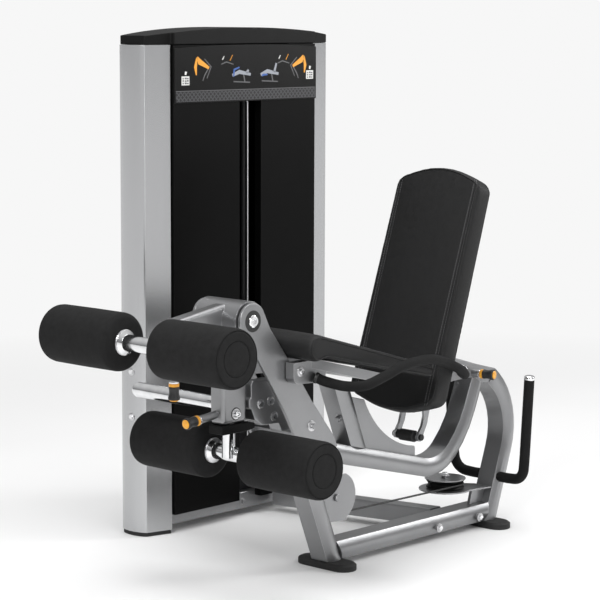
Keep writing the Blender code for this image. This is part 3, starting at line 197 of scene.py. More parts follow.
def turned_steel():
    """Machined steel with fine tool marks."""
    s = Shader("turned_steel")
    marks = s.noise(1.0, 3, 0.6, s.stretched((60, 2200, 2200)))
    s.set("Base Color", s.ramp(marks, 0.3, 0.7, (0.50, 0.50, 0.51), (0.70, 0.70, 0.71)))
    s.set("Metallic", 1.0)
    s.set("Roughness", s.ramp(marks, 0.3, 0.7, 0.22, 0.36))
    s.bump((marks, 0.12, 0.0002))
    return s.material


def vinyl():
    """Black upholstery vinyl: pebbled grain, fine pores and a dull sheen."""
    tone = 0.0075
    s = Shader("vinyl")
    grain = s.cells(620)
    crease = s.noise(95, 4, 0.6)
    fleck = s.noise(1700, 2)
    s.set("Base Color", s.ramp(crease, 0.3, 0.72, (tone * 0.8,) * 3, (tone * 1.5, tone * 1.5,
                                                                      tone * 1.55)))
    s.set("Roughness", s.ramp(crease, 0.3, 0.7, 0.46, 0.60))
    s.set("Specular IOR Level", 0.26)
    pebble = s.ramp(grain, 0.0, 0.12, 0.0, 1.0)
    s.bump((pebble, 0.30, 0.0004), (fleck, 0.12, 0.0002), (crease, 0.10, 0.0008))
    return s.material


def thread():
    """Twisted sewing thread."""
    s = Shader("thread")
    twist = s.noise(2400, 2)
    s.set("Base Color", s.ramp(twist, 0.35, 0.65, (0.055, 0.055, 0.058), (0.17, 0.17, 0.175)))
    s.set("Roughness", 0.75)
    s.bump((twist, 0.5, 0.0003))
    return s.material


def foam(name, tone):
    """Moulded foam skin: fine pores over soft mottling."""
    s = Shader(name)
    pores = s.cells(1500, "F1")
    mottle = s.noise(60, 5, 0.65)
    fine = s.noise(1300, 2)
    s.set("Base Color", s.ramp(mottle, 0.3, 0.7, (tone * 0.8,) * 3, (tone * 1.35, tone * 1.35,
                                                                     tone * 1.38)))
    s.set("Roughness", s.ramp(fine, 0.3, 0.7, 0.74, 0.92))
    s.set("Specular IOR Level", 0.20)
    s.bump((pores, 0.22, 0.0005), (fine, 0.25, 0.0003), (mottle, 0.08, 0.001))
    return s.material


def plastic(name, tone, rough, grain=900, strength=0.12, gloss=0.5):
    """Moulded or painted black part with a fine spark-eroded grain and rubbed edges."""
    s = Shader(name)
    texture = s.noise(grain, 2)
    cloud = s.noise(14, 3)
    base = s.ramp(cloud, 0.3, 0.7, (tone * 0.85,) * 3, (tone * 1.25,) * 3)
    s.set("Base Color", s.mix(s.edge_wear(0.001), base, (tone * 2.2 + 0.012,) * 3))
    s.set("Specular IOR Level", gloss)
    s.set("Roughness", s.ramp(texture, 0.3, 0.7, rough - 0.05, rough + 0.07))
    s.bump((texture, strength, 0.0003))
    return s.material


def amber():
    s = Shader("amber")
    mottle = s.noise(120, 3)
    s.set("Base Color", s.ramp(mottle, 0.3, 0.7, (0.72, 0.30, 0.012), (0.86, 0.41, 0.025)))
    s.set("Roughness", s.ramp(mottle, 0.3, 0.7, 0.30, 0.42))
    s.set("Coat Weight", 0.3)
    s.bump((s.noise(700, 2), 0.08, 0.0003))
    return s.material


def cast_iron():
    s = Shader("cast_iron")
    grit = s.noise(260, 4, 0.7)
    s.set("Base Color", s.ramp(grit, 0.3, 0.7, (0.012, 0.012, 0.013), (0.030, 0.030, 0.032)))
    s.set("Metallic", 0.25)
    s.set("Roughness", s.ramp(grit, 0.3, 0.7, 0.45, 0.62))
    s.bump((grit, 0.3, 0.0006))
    return s.material


def ink(name, colour):
    """Printed colour on the placard, with a slightly uneven ink film."""
    s = Shader(name)
    film = s.noise(480, 2)
    s.set("Base Color", s.ramp(film, 0.3, 0.7, tuple(c * 0.88 for c in colour), colour))
    s.set("Roughness", s.ramp(film, 0.3, 0.7, 0.40, 0.50))
    s.bump((film, 0.05, 0.0001))
    return s.material


def mesh_band():
    """Dark steel band with a fine diamond weave along the placard's lower edge."""
    s = Shader("mesh_band")
    net = None
    for turn in (1, -1):
        wave = s.add("ShaderNodeTexWave", wave_type="BANDS", bands_direction="DIAGONAL")
        wave.inputs["Scale"].default_value = 42
        s.link(s.stretched((turn, 1, 1)), wave.inputs["Vector"])
        strand = s.ramp(wave.outputs["Fac"], 0.62, 0.88, 0.0, 1.0)
        if net:
            crossed = s.add("ShaderNodeMath", operation="MAXIMUM")
            s.link(net, crossed.inputs[0])
            s.link(strand, crossed.inputs[1])
            strand = crossed.outputs["Value"]
        net = strand
    s.set("Base Color", s.ramp(net, 0.1, 0.9, (0.008, 0.008, 0.009), (0.045, 0.045, 0.048)))
    s.set("Metallic", 0.4)
    s.set("Roughness", s.ramp(net, 0.2, 0.8, 0.42, 0.30))
    s.bump((net, 0.4, 0.0004))
    return s.material


SILVER = powder_coat("silver_paint", (0.235, 0.237, 0.242), (0.275, 0.277, 0.282))
COLUMN = column_metal()
CHROME = chrome()
STEEL = turned_steel()
VINYL = vinyl()
THREAD = thread()
ROLLER_FOAM = foam("roller_foam", 0.0085)
GRIP_FOAM = foam("grip_foam", 0.0065)
BLACK = plastic("black_shell", 0.0012, 0.36, 700, 0.03, 0.07)
CAP_BLACK = plastic("cap_black", 0.0035, 0.50, 600, 0.15, 0.14)
RUBBER = plastic("rubber", 0.012, 0.72, 300, 0.3)
KNOB = plastic("knob_black", 0.012, 0.42)
AMBER = amber()
IRON = cast_iron()
PANEL = plastic("placard_black", 0.0045, 0.32, 1500, 0.02, 0.10)
CABLE = plastic("cable_sheath", 0.006, 0.38, 800, 0.1)
PAPER = ink("pale_print", (0.72, 0.72, 0.70))
BLUE = ink("blue_print", (0.03, 0.10, 0.35))
GREY_INK = ink("grey_print", (0.10, 0.10, 0.105))
MID_INK = ink("mid_print", (0.30, 0.32, 0.36))
ORANGE = ink("amber_print", (0.80, 0.33, 0.015))
BAND = mesh_band()


# ---------------------------------------------------------------- mesh tools

def add_object(name, mesh, look, body, smooth_angle=38):
    made = bpy.data.objects.new(name, mesh)
    bpy.context.scene.collection.objects.link(made)
    mesh.materials.clear()
    mesh.materials.append(look)
    mesh.shade_smooth()
    mesh.set_sharp_from_angle(angle=radians(smooth_angle))
    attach(made, body)
    return made


def from_bmesh(name, bm, look, body, smooth_angle=38):
    bmesh.ops.recalc_face_normals(bm, faces=bm.faces)
    mesh = bpy.data.meshes.new(name)
    bm.to_mesh(mesh)
    bm.free()
    return add_object(name, mesh, look, body, smooth_angle)


def ring_frame(direction):
    axis = Vector(direction).normalized()
    side = axis.orthogonal().normalized()
    return axis, side, axis.cross(side)


def lathe(name, start, direction, profile, look, body, segments=64, smooth_angle=38):
    """Turned piece: profile of (distance along the axis, radius), closed at both ends."""
    axis, side, up = ring_frame(direction)
    bm = bmesh.new()
    loops = []
    for along, radius in profile:
        centre = Vector(start) + axis * along
        loops.append([bm.verts.new(centre + (side * cos(a) + up * sin(a)) * radius)
                      for a in (2 * pi * i / segments for i in range(segments))])
    for first, second in zip(loops, loops[1:]):
        for i in range(segments):
            j = (i + 1) % segments
            bm.faces.new((first[i], first[j], second[j], second[i]))
    for loop in (loops[0], loops[-1]):
        centre = bm.verts.new(sum((v.co for v in loop), Vector()) / segments)
        for i in range(segments):
            bm.faces.new((loop[i], loop[(i + 1) % segments], centre))
    return from_bmesh(name, bm, look, body, smooth_angle)


def round_profile(points, radius=0.002, steps=4):
    """Round the corners of a turned profile with small arcs."""
    result = [points[0]]
    for before, corner, after in zip(points, points[1:], points[2:]):
        a, b, c = Vector(before), Vector(corner), Vector(after)
        first, second = b - a, c - b
        reach = min(radius, first.length * 0.45, second.length * 0.45)
        if reach < 1e-5 or first.angle(second, 0) < radians(12):
            result.append(corner)
            continue
        p0, p2 = b - first.normalized() * reach, b + second.normalized() * reach
        for i in range(steps + 1):
            t = i / steps
            p = p0 * (1 - t) ** 2 + b * 2 * t * (1 - t) + p2 * t * t
            result.append((p.x, p.y))
    result.append(points[-1])
    return result


def tube(name, points, radius, look, body, sides=20, closed=False):
    """Round tube along points, with parallel-carried rings."""
    path = [Vector(p) for p in points]
    count = len(path)
    bm = bmesh.new()
    loops = []
    previous = None
    for i, point in enumerate(path):
        if closed:
            tangent = (path[(i + 1) % count] - path[i - 1]).normalized()
        else:
            tangent = (path[min(i + 1, count - 1)] - path[max(i - 1, 0)]).normalized()
        if previous is None:
            side = tangent.orthogonal().normalized()
        else:
            side = (previous - tangent * previous.dot(tangent)).normalized()
        previous = side
        up = tangent.cross(side)
        loops.append([bm.verts.new(point + (side * cos(a) + up * sin(a)) * radius)
                      for a in (2 * pi * k / sides for k in range(sides))])
    pairs = list(zip(loops, loops[1:]))
    if closed:
        pairs.append((loops[-1], loops[0]))
    for first, second in pairs:
        for k in range(sides):
            j = (k + 1) % sides
            bm.faces.new((first[k], first[j], second[j], second[k]))
    if not closed:
        bm.faces.new(loops[0])
        bm.faces.new(loops[-1])
    return from_bmesh(name, bm, look, body)


def welded_copy(node):
    """bmesh of a CAD node with shared corners and flat areas merged."""
    bm = bmesh.new()
    bm.from_mesh(NODES[node].data)
    bmesh.ops.remove_doubles(bm, verts=bm.verts, dist=1e-5)
    bmesh.ops.dissolve_limit(bm, angle_limit=radians(0.6), verts=bm.verts, edges=bm.edges)
    return bm


def dress(node, look, bevel):
    """Keep a CAD node: soften its hard edges with modifiers and give it its material."""
    target = NODES[node]
    target.data.materials.clear()
    target.data.materials.append(look)
    for polygon in target.data.polygons:
        polygon.use_smooth = True
    weld = target.modifiers.new("weld", "WELD")
    weld.merge_threshold = 1e-5
    if bevel:
        rounding = target.modifiers.new("rounding", "BEVEL")
        rounding.width = bevel
        rounding.segments = 2
        rounding.limit_method = "ANGLE"
        rounding.angle_limit = radians(32)
        rounding.use_clamp_overlap = True
    target.modifiers.new("normals", "WEIGHTED_NORMAL")


def spline(points, steps=10):
    """Catmull-Rom points through control points."""
    control = [Vector(p) for p in points]
    control = [2 * control[0] - control[1]] + control + [2 * control[-1] - control[-2]]
    result = []
    for a, b, c, d in zip(control, control[1:], control[2:], control[3:]):
        for i in range(steps):
            t = i / steps
            result.append(0.5 * (2 * b + (c - a) * t + (2 * a - 5 * b + 4 * c - d) * t * t
                                 + (3 * b - a - 3 * c + d) * t ** 3))
    result.append(control[-2])
    return result


def axis_ends(node, direction):
    """Centres of the two end rings of a turned CAD node, along its axis."""
    axis = Vector(direction).normalized()
    places = [v.co.copy() for v in NODES[node].data.vertices]
    reach = [p.dot(axis) for p in places]
    ends = []
    for level in (min(reach), max(reach)):
        ring = [p for p, t in zip(places, reach) if abs(t - level) < 1e-4]
        unique = {tuple(round(c, 5) for c in p) for p in ring}
        ends.append(sum((Vector(p) for p in unique), Vector()) / len(unique))
    return ends


def flat_side(node, direction):
    """Corners, in order, of the CAD node's largest face looking along a direction."""
    bm = welded_copy(node)
    wanted = Vector(direction).normalized()
    facing = [f for f in bm.faces if f.normal.dot(wanted) > 0.94]
    face = max(facing, key=lambda f: f.calc_area())
    corners = [v.co.copy() for v in face.verts]
    normal = face.normal.copy()
    bm.free()
    return corners, normal


def resampled(points, spacing, closed=False):
    """Points at an even spacing along a polyline."""
    path = [Vector(p) for p in points]
    if closed:
        path.append(path[0])
    total = sum((b - a).length for a, b in zip(path, path[1:]))
    count = max(2, round(total / spacing))
    step = total / count
    result = [path[0].copy()]
    wanted = step
    walked = 0.0
    for a, b in zip(path, path[1:]):
        length = (b - a).length
        while wanted <= walked + length + 1e-9 and len(result) < count + 1:
            result.append(a.lerp(b, (wanted - walked) / length))
            wanted += step
        walked += length
    return result[:-1] if closed else result


# ---------------------------------------------------------------- upholstery

def mesh_of(target):
    evaluated = target.evaluated_get(bpy.context.evaluated_depsgraph_get())
    return bpy.data.meshes.new_from_object(evaluated)


def apply_all(target):
    """Replace a mesh object's data with its evaluated mesh."""
    mesh = mesh_of(target)
    target.modifiers.clear()
    target.data = mesh


def point_tree(points):
    """Search tree over points, for the distance to the closest one."""
    tree = KDTree(len(points))
    for i, point in enumerate(points):
        tree.insert(point, i)
    tree.balance()
    return tree


VOXEL = 0.0055       # cover mesh size
SHRINK = 0.0015      # how far the cover starts inside the CAD solid
SEAM_HOLD = 0.006    # cover points this close to a seam are pinned
CLOTH_FRAMES = 20


def padded(name, node, seams, cap, flat):
    """Upholstered pad: the CAD solid remeshed, its seams held, the cover blown up as cloth.

    No point moves further than cap, and points that face along flat stay where they are.
    """
    bm = welded_copy(node)
    mesh = bpy.data.meshes.new(name)
    bm.to_mesh(mesh)
    bm.free()
    made = bpy.data.objects.new(name, mesh)
    bpy.context.scene.collection.objects.link(made)
    inset = made.modifiers.new("inset", "DISPLACE")
    inset.strength = -SHRINK
    inset.mid_level = 0.0
    remesh = made.modifiers.new("remesh", "REMESH")
    remesh.mode = "VOXEL"
    remesh.voxel_size = VOXEL
    soften = made.modifiers.new("soften", "SMOOTH")
    soften.iterations = 3
    apply_all(made)
    blow_up(made, seams, cap, flat)
    soften = made.modifiers.new("soften", "SMOOTH")
    soften.iterations = 2
    fine = made.modifiers.new("fine", "SUBSURF")
    fine.levels = fine.render_levels = 1
    apply_all(made)
    made.data.materials.clear()
    made.data.materials.append(VINYL)
    made.data.shade_smooth()
    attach(made, BODY_OF[node])
    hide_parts(node)
    return made


def blow_up(target, seams, cap, flat):
    """Run the cover as pressurised cloth pinned along its seams and keep the capped result."""
    rest = [v.co.copy() for v in target.data.vertices]
    normals = [v.normal.copy() for v in target.data.vertices]
    pins = target.vertex_groups.new(name="seams")
    sewn = point_tree(seams)
    held = [i for i, p in enumerate(rest) if sewn.find(p)[2] < SEAM_HOLD]
    pins.add(held, 1.0, "REPLACE")
    cloth = target.modifiers.new("cover", "CLOTH")
    cloth.settings.vertex_group_mass = "seams"
    cloth.settings.use_pressure = True
    cloth.settings.uniform_pressure_force = 4.0
    cloth.settings.effector_weights.gravity = 0.0
    cloth.settings.tension_stiffness = 20
    cloth.settings.bending_stiffness = 2.0
    cloth.point_cache.frame_end = CLOTH_FRAMES
    for number in range(1, CLOTH_FRAMES + 1):
        bpy.context.scene.frame_set(number)
    swollen = mesh_of(target)
    moved = [v.co.copy() for v in swollen.vertices]
    target.modifiers.clear()
    target.vertex_groups.clear()
    for vertex, start, end, normal in zip(target.data.vertices, rest, moved, normals):
        move = end - start
        if normal.dot(flat) > 0.8:
            move = Vector()
        if move.length > cap:
            move = move.normalized() * cap
        vertex.co = start + move
    bpy.data.meshes.remove(swollen)
    bpy.context.scene.frame_set(1)


def surface_tree(target):
    bm = bmesh.new()
    bm.from_mesh(target.data)
    tree = BVHTree.FromBMesh(bm)
    bm.free()
    return tree


def press_line(target, line, depth, width):
    """Press a sewn line into a cover: depth at the line, fading out over width."""
    sewn = point_tree(line)
    for vertex in target.data.vertices:
        gap = sewn.find(vertex.co)[2]
        if gap < width:
            vertex.co -= vertex.normal * depth * (1 - (gap / width) ** 2) ** 2


def lay_on(tree, points, lift):
    """Move points onto the nearest place of a surface, lifted along its normal."""
    laid = []
    for point in points:
        place, normal, _, _ = tree.find_nearest(point)
        laid.append((place + normal * lift, normal))
    return laid


def stitches(name, tree, line, body):
    """Row of thread stitches on a surface, as one mesh."""
    length, pitch, radius, sides = 0.0052, 0.0072, 0.00055, 6
    stations = ((0.0, 0.35, -0.3), (0.18, 0.95, 0.5), (0.5, 1.0, 0.75),
                (0.82, 0.95, 0.5), (1.0, 0.35, -0.3))
    bm = bmesh.new()
    places = lay_on(tree, resampled(line, pitch), 0.0002)
    for (a, normal), (b, _) in zip(places, places[1:]):
        run = (b - a).normalized()
        across = run.cross(normal).normalized()
        rings = []
        for t, swell, lift in stations:
            centre = a + run * length * t + normal * radius * lift
            rings.append([bm.verts.new(centre + (across * cos(k) + normal * sin(k)) * radius * swell)
                          for k in (2 * pi * i / sides for i in range(sides))])
        for first, second in zip(rings, rings[1:]):
            for i in range(sides):
                j = (i + 1) % sides
                bm.faces.new((first[i], first[j], second[j], second[i]))
        bm.faces.new(rings[0])
        bm.faces.new(rings[-1])
    from_bmesh(name, bm, THREAD, body)


def piping(name, line, tree, body, radius):
    """Corded welt round an edge of a cover."""
    points = [p for p, _ in lay_on(tree, resampled(line, 0.008, True), radius * 0.35)]
    tube(name, points, radius, VINYL, body, 10, True)


def back_rest():
    """Back rest cover: crowned face, double-stitched side panels and a welt round both faces."""
    corners, normal = flat_side("back_pad", (-1, 0, 0.3))
    rear, _ = flat_side("back_pad", (1, 0, -0.3))
    centre = sum(corners, Vector()) / len(corners)
    across = Vector((0, 1, 0))
    upward = normal.cross(across).normalized()
    if upward.z < 0:
        upward = -upward
    half_long = max((c - centre).dot(upward) for c in corners)
    low = min((c - centre).dot(upward) for c in corners)
    half_wide = max(c.y for c in corners)
    seam_y = half_wide - 0.016
    seams = []
    for side in (-1, 1):
        line = [centre + upward * (low + (half_long - low) * t) + across * side * (seam_y - 0.004 * (1 - t))
                for t in (0.0, 0.25, 0.5, 0.75, 1.0)]
        seams.append(resampled(line, 0.004))
    hem = resampled(corners, 0.005, True)
    held = hem + resampled(rear, 0.005, True) + [p for seam in seams for p in seam]
    body = BODY_OF["back_pad"]
    pad = padded("back_pad_cover", "back_pad", held, 0.009, -normal)
    for seam in seams:
        press_line(pad, seam, 0.0022, 0.007)
    tree = surface_tree(pad)
    for i, seam in enumerate(seams):
        for k, offset in enumerate((-0.0042, 0.0042)):
            row = [p + across * offset for p in seam]
            stitches("back_stitch_%d_%d" % (i, k), tree, row, body)
    piping("back_welt_front", corners, tree, body, 0.0020)
    piping("back_welt_rear", rear, tree, body, 0.0020)


def seat():
    """Seat cover: crowned top, rolled front edge and a welt round each side panel."""
    near, _ = flat_side("seat_pad", (0, -1, 0))
    far, _ = flat_side("seat_pad", (0, 1, 0))
    top, up = flat_side("seat_pad", (0.25, 0, 1))
    body = BODY_OF["seat_pad"]
    rear_x = max(p.x for p in top)
    front_x = min(p.x for p in top)
    half = max(p.y for p in top)
    seam_y = half - 0.022
    seams = []
    for side in (-1, 1):
        line = []
        for t in (0.0, 0.25, 0.5, 0.75, 1.0):
            x = front_x + (rear_x - front_x) * t
            nearest = min(top, key=lambda p: abs(p.x - x))
            line.append(Vector((x, side * seam_y, nearest.z - up.x / up.z * (x - nearest.x))))
        seams.append(resampled(line, 0.004))
    held = resampled(near, 0.005, True) + resampled(far, 0.005, True)
    pad = padded("seat_pad_cover", "seat_pad", held, 0.007, -up)
    tree = surface_tree(pad)
    for name, loop in (("near", near), ("far", far)):
        piping("seat_welt_" + name, loop, tree, body, 0.0021)
    for i, seam in enumerate(seams):
        stitches("seat_stitch_%d" % i, tree, seam, body)


# ---------------------------------------------------------------- turned and moulded pieces

def roller(node):
    """Foam roller: rounded shoulders, moulded rim and shallow dish in its outer end."""
    side = -1 if node.endswith("near") else 1
    inner, outer = axis_ends(node, (0, side, 0))
    low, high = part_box(node)
    radius = (high.x - low.x) / 2
    length = (outer - inner).length
    inner_end = [(0.0, 0.0135), (0.0, 0.054), (0.0016, 0.0640), (0.0090, radius - 0.0010)]
    barrel = [(0.0170, radius), (length * 0.5, radius + 0.0005), (length - 0.0150, radius)]
    rim = [(length - 0.0060, radius - 0.0012), (length - 0.0018, radius - 0.0036),
           (length - 0.0014, radius - 0.0052), (length - 0.0036, radius - 0.0064),
           (length - 0.0008, radius - 0.0082), (length, radius - 0.0110)]
    dish = [(length, 0.0470), (length - 0.0008, 0.0452), (length - 0.0034, 0.0434),
            (length - 0.0012, 0.0412), (length - 0.0008, 0.0385), (length - 0.0008, 0.0010)]
    profile = round_profile(inner_end + barrel + rim + dish, 0.0030, 3)
    body = BODY_OF[node]
    made = lathe(node + "_foam", inner, outer - inner, profile, ROLLER_FOAM, body, 96, 60)
    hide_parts(node)


def roller_hub(node):
    """Stepped steel hub on the axle, against the inner end of a foam roller."""
    side = -1 if node.endswith("near") else 1
    inner, outer = axis_ends(node, (0, side, 0))
    hub = [(-0.0180, 0.0145), (-0.0180, 0.0215), (-0.0090, 0.0215), (-0.0090, 0.0275), (-0.0035, 0.0275),
           (-0.0035, 0.0330), (0.0006, 0.0330), (0.0006, 0.0145)]
    lathe(node + "_hub", inner, outer - inner, round_profile(hub, 0.0010), STEEL, BODY_OF[node], 56)


def knob(node, joint):
    """Pull pin: steel rod, chrome collar, amber ring, waisted black grip and amber end disc."""
    axis = Vector(JOINTS[joint]["axis"]).normalized()
    tip, end = axis_ends(node, axis)
    body = BODY_OF[node]
    base = end - axis * 0.050
    rod = [(0, 0.004), (0.001, 0.005), ((base - tip).length, 0.005)]
    lathe(node + "_rod", tip, axis, round_profile(rod), STEEL, body, 24)
    collar = [(0, 0.0112), (0, 0.0126), (0.0044, 0.0126), (0.0044, 0.0100)]
    lathe(node + "_collar", base + axis * 0.0004, axis, round_profile(collar, 0.0006), CHROME, body, 40)
    ring = [(0, 0.0100), (0, 0.0134), (0.0078, 0.0134), (0.0078, 0.0100)]
    lathe(node + "_ring", base + axis * 0.0050, axis, round_profile(ring, 0.0012), AMBER, body, 48)
    grip = [(0, 0.0100), (0.0004, 0.0130), (0.0030, 0.0138), (0.0055, 0.0136), (0.0090, 0.0128),
            (0.0150, 0.0124), (0.0210, 0.0132), (0.0250, 0.0146), (0.0285, 0.0153), (0.0320, 0.0152),
            (0.0335, 0.0140), (0.0335, 0.0080)]
    made = lathe(node + "_grip", base + axis * 0.0130, axis, round_profile(grip, 0.0010), KNOB, body, 48)
    disc = [(0, 0.0090), (0, 0.0117), (0.0024, 0.0117), (0.0036, 0.0095), (0.0038, 0.0010)]
    lathe(node + "_disc", base + axis * 0.0462, axis, round_profile(disc, 0.0010), AMBER, body, 48)
    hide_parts(node)


def bolt_head(name, place, out, radius, body, look):
    """Socket-head bolt on its washer: domed rim and a round socket."""
    washer = [(0, radius * 0.6), (0, radius * 1.5), (0.0016, radius * 1.5), (0.0018, radius * 0.9)]
    lathe(name + "_washer", place, out, round_profile(washer, 0.0005), STEEL, body, 32)
    head = [(0.0015, radius * 0.9), (0.0015, radius), (radius * 0.85, radius * 0.97),
            (radius * 1.05, radius * 0.78), (radius * 1.05, radius * 0.50), (radius * 0.55, radius * 0.47),
            (radius * 0.50, radius * 0.05)]
    lathe(name, place, out, round_profile(head, 0.0006), look, body, 36)


def plate_shape(name, outline, low_y, high_y, look):
    """Thin flat shape in the XZ plane, between two depths."""
    bm = bmesh.new()
    front = [bm.verts.new((x, low_y, z)) for x, z in outline]
    rear = [bm.verts.new((x, high_y, z)) for x, z in outline]
    bm.faces.new(front)
    bm.faces.new(rear[::-1])
    for i in range(len(front)):
        j = (i + 1) % len(front)
        bm.faces.new((front[j], front[i], rear[i], rear[j]))
    from_bmesh(name, bm, look, "frame", 30)


def soft_box(low, high, radius):
    """Rounded rectangle outline."""
    steps = 4
    outline = []
    spots = ((high[0] - radius, high[1] - radius, 0), (low[0] + radius, high[1] - radius, 1),
             (low[0] + radius, low[1] + radius, 2), (high[0] - radius, low[1] + radius, 3))
    for x, z, quarter in spots:
        for i in range(steps + 1):
            a = pi / 2 * (quarter + i / steps)
            outline.append((x + radius * cos(a), z + radius * sin(a)))
    return outline


def limb(points, widths):
    """Outline of a tapering bent limb along a centre line."""
    line = [Vector(p) for p in points]
    left, right = [], []
    for i, (point, width) in enumerate(zip(line, widths)):
        run = (line[min(i + 1, len(line) - 1)] - line[max(i - 1, 0)]).normalized()
        side = Vector((-run.y, run.x)) * width
        left.append(tuple(point + side))
        right.append(tuple(point - side))
    return left + right[::-1]


def tower_cable():
    """Cable over the top pulley, down the slot behind the placard."""
    wheel = Vector(JOINTS["top_pulley_spin"]["pos_m"])
    _, wheel_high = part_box("top_pulley")
    reach = wheel_high.z - wheel.z - 0.0030
    over = [Vector((wheel.x, wheel.y + reach * cos(a), wheel.z + reach * sin(a)))
            for a in (pi * i / 16 for i in range(17))]
    front_y = wheel.y - reach
    side_x = wheel.x + 0.0155
    slot_y = 0.575
    lower = spline([(wheel.x, front_y, wheel.z), (wheel.x + 0.008, slot_y - 0.003, 1.24),
                    (side_x, slot_y, 1.16), (side_x, slot_y, 0.6), (side_x, slot_y, 0.18)], 8)
    _, stack_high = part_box("head_plate")
    rear = [Vector((wheel.x, wheel.y + reach, stack_high.z + 0.30))]
    tube("tower_cable", rear + over + lower[1:], 0.0022, STEEL, "frame", 10)


def placard_art():
    """Generic printed panel: stylised legs, small machine drawings, plain code squares and a woven band."""
    low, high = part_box("placard")
    face = low.y - 0.0005
    back = low.y + 0.0015

    def at(u, v):
        return low.x + u * (high.x - low.x), low.z + v * (high.z - low.z)

    def flat(name, outline, look, layer=0):
        plate_shape("print_" + name, [at(u, v) for u, v in outline], face - 0.0003 * layer, back, look)

    def block(name, u, v, wide, tall, look, layer=0):
        flat(name, [(u, v), (u + wide, v), (u + wide, v + tall), (u, v + tall)], look, layer)

    def bar(name, points, widths, look, layer=0):
        """Bar drawn in real proportions: u is stretched by the panel's width over its height."""
        stretch = (high.x - low.x) / (high.z - low.z)
        outline = limb([(u * stretch, v) for u, v in points], widths)
        flat(name, [(u / stretch, v) for u, v in outline], look, layer)

    band = soft_box(at(0.006, 0.02), at(0.994, 0.195), 0.003)
    plate_shape("print_band", band, face - 0.0003, back, BAND)
    bar("band_line", [(0.006, 0.207), (0.994, 0.207)], [0.006, 0.006], GREY_INK)
    for i, (u, turn) in enumerate(((0.17, 1), (0.885, -1))):
        thigh = [(u - 0.020 * turn, 0.79), (u - 0.004 * turn, 0.71), (u + 0.060 * turn, 0.60)]
        calf = [(u - 0.022 * turn, 0.78), (u - 0.032 * turn, 0.62), (u - 0.026 * turn, 0.48)]
        bone = [(u + 0.062 * turn, 0.62), (u + 0.030 * turn, 0.47), (u + 0.018 * turn, 0.38)]
        shin = [(u + 0.030 * turn, 0.76), (u + 0.075 * turn, 0.62), (u + 0.046 * turn, 0.42)]
        bar("thigh_%d" % i, thigh, [0.020, 0.050, 0.024], ORANGE, 1)
        bar("calf_%d" % i, calf, [0.016, 0.034, 0.010], ORANGE, 1)
        bar("bone_%d" % i, bone, [0.012, 0.010, 0.008], GREY_INK)
        bar("shin_%d" % i, shin, [0.008, 0.012, 0.008], GREY_INK)
    for i, u in enumerate((0.045, 0.925)):
        rise = 0.05 * i
        block("code_%d" % i, u, 0.31 + rise, 0.052, 0.155, PAPER)
        for k in range(9):
            column, row = k % 3, k // 3
            wide, tall = 0.008 + 0.002 * ((k * 5) % 3), 0.022 + 0.006 * ((k * 7) % 2)
            block("code_%d_cell_%d" % (i, k), u + 0.006 + 0.015 * column, 0.33 + rise + 0.042 * row,
                  wide, tall, GREY_INK, 1)
        bar("tip_%d" % i, [(u + 0.026, 0.49 + rise), (u + 0.030, 0.545 + rise)], [0.018, 0.026], PAPER)
    for i, u in enumerate((0.385, 0.585)):
        turn = 1 - 2 * i
        middle = u + 0.075
        bar("rail_%d" % i, [(middle - 0.060, 0.35), (middle + 0.055, 0.33)], [0.010, 0.010], GREY_INK, 1)
        bar("stand_%d" % i, [(middle + 0.010, 0.48), (middle + 0.020, 0.34)], [0.014, 0.012], GREY_INK)
        couch = [(middle - 0.068, 0.46), (middle - 0.02, 0.52), (middle + 0.060, 0.47)]
        rest = [(middle + 0.030, 0.50), (middle + 0.045, 0.55 + 0.11 * i)]
        arm = [(middle - 0.060, 0.44), (middle - 0.052 - 0.004 * turn, 0.56 - 0.10 * i),
               (middle - 0.020, 0.60 - 0.14 * i)]
        bar("couch_%d" % i, couch, [0.026, 0.036, 0.024], MID_INK, 1)
        bar("rest_%d" % i, rest, [0.026, 0.020], MID_INK, 1)
        bar("arm_%d" % i, arm, [0.016, 0.020, 0.012], BLUE, 2)
    for i, u in enumerate((0.315, 0.715)):
        sketch = [(u, 0.66), (u + 0.035, 0.70), (u + 0.085, 0.655)]
        bar("sketch_%d" % i, sketch, [0.008, 0.010, 0.007], GREY_INK)
        bar("sketch_seat_%d" % i, [(u + 0.008, 0.74), (u + 0.020, 0.80)], [0.010, 0.007], PAPER)
        bar("sketch_back_%d" % i, [(u + 0.060, 0.72), (u + 0.078, 0.82)], [0.006, 0.005], ORANGE)


# ---------------------------------------------------------------- assembly

LOOKS = {"silver": SILVER, "black": BLACK, "vinyl": VINYL, "foam": ROLLER_FOAM, "rubber": RUBBER,
         "chrome": CHROME, "steel": STEEL, "iron": IRON, "amber": AMBER, "panel": PANEL}
OWN_LOOK = {"column_front": COLUMN, "column_rear": COLUMN, "top_cap": CAP_BLACK, "cable_base": CABLE,
            "lever_collar": CAP_BLACK, "front_pulley": CAP_BLACK, "rear_pulley": CAP_BLACK,
            "top_pulley": CAP_BLACK, "guide_rod_front": IRON, "guide_rod_rear": IRON}
USUAL_EDGE = 0.0012
SOFT_EDGE = {"column_front": 0.006, "column_rear": 0.006, "top_cap": 0.003, "front_cover_near": 0.0016,
             "front_cover_far": 0.0016, "front_shroud": 0.0008, "rear_shroud": 0.0008, "placard": 0.0006,
             "cable_base": 0, "selector_pin": 0.0006, "back_plate": 0.0010}

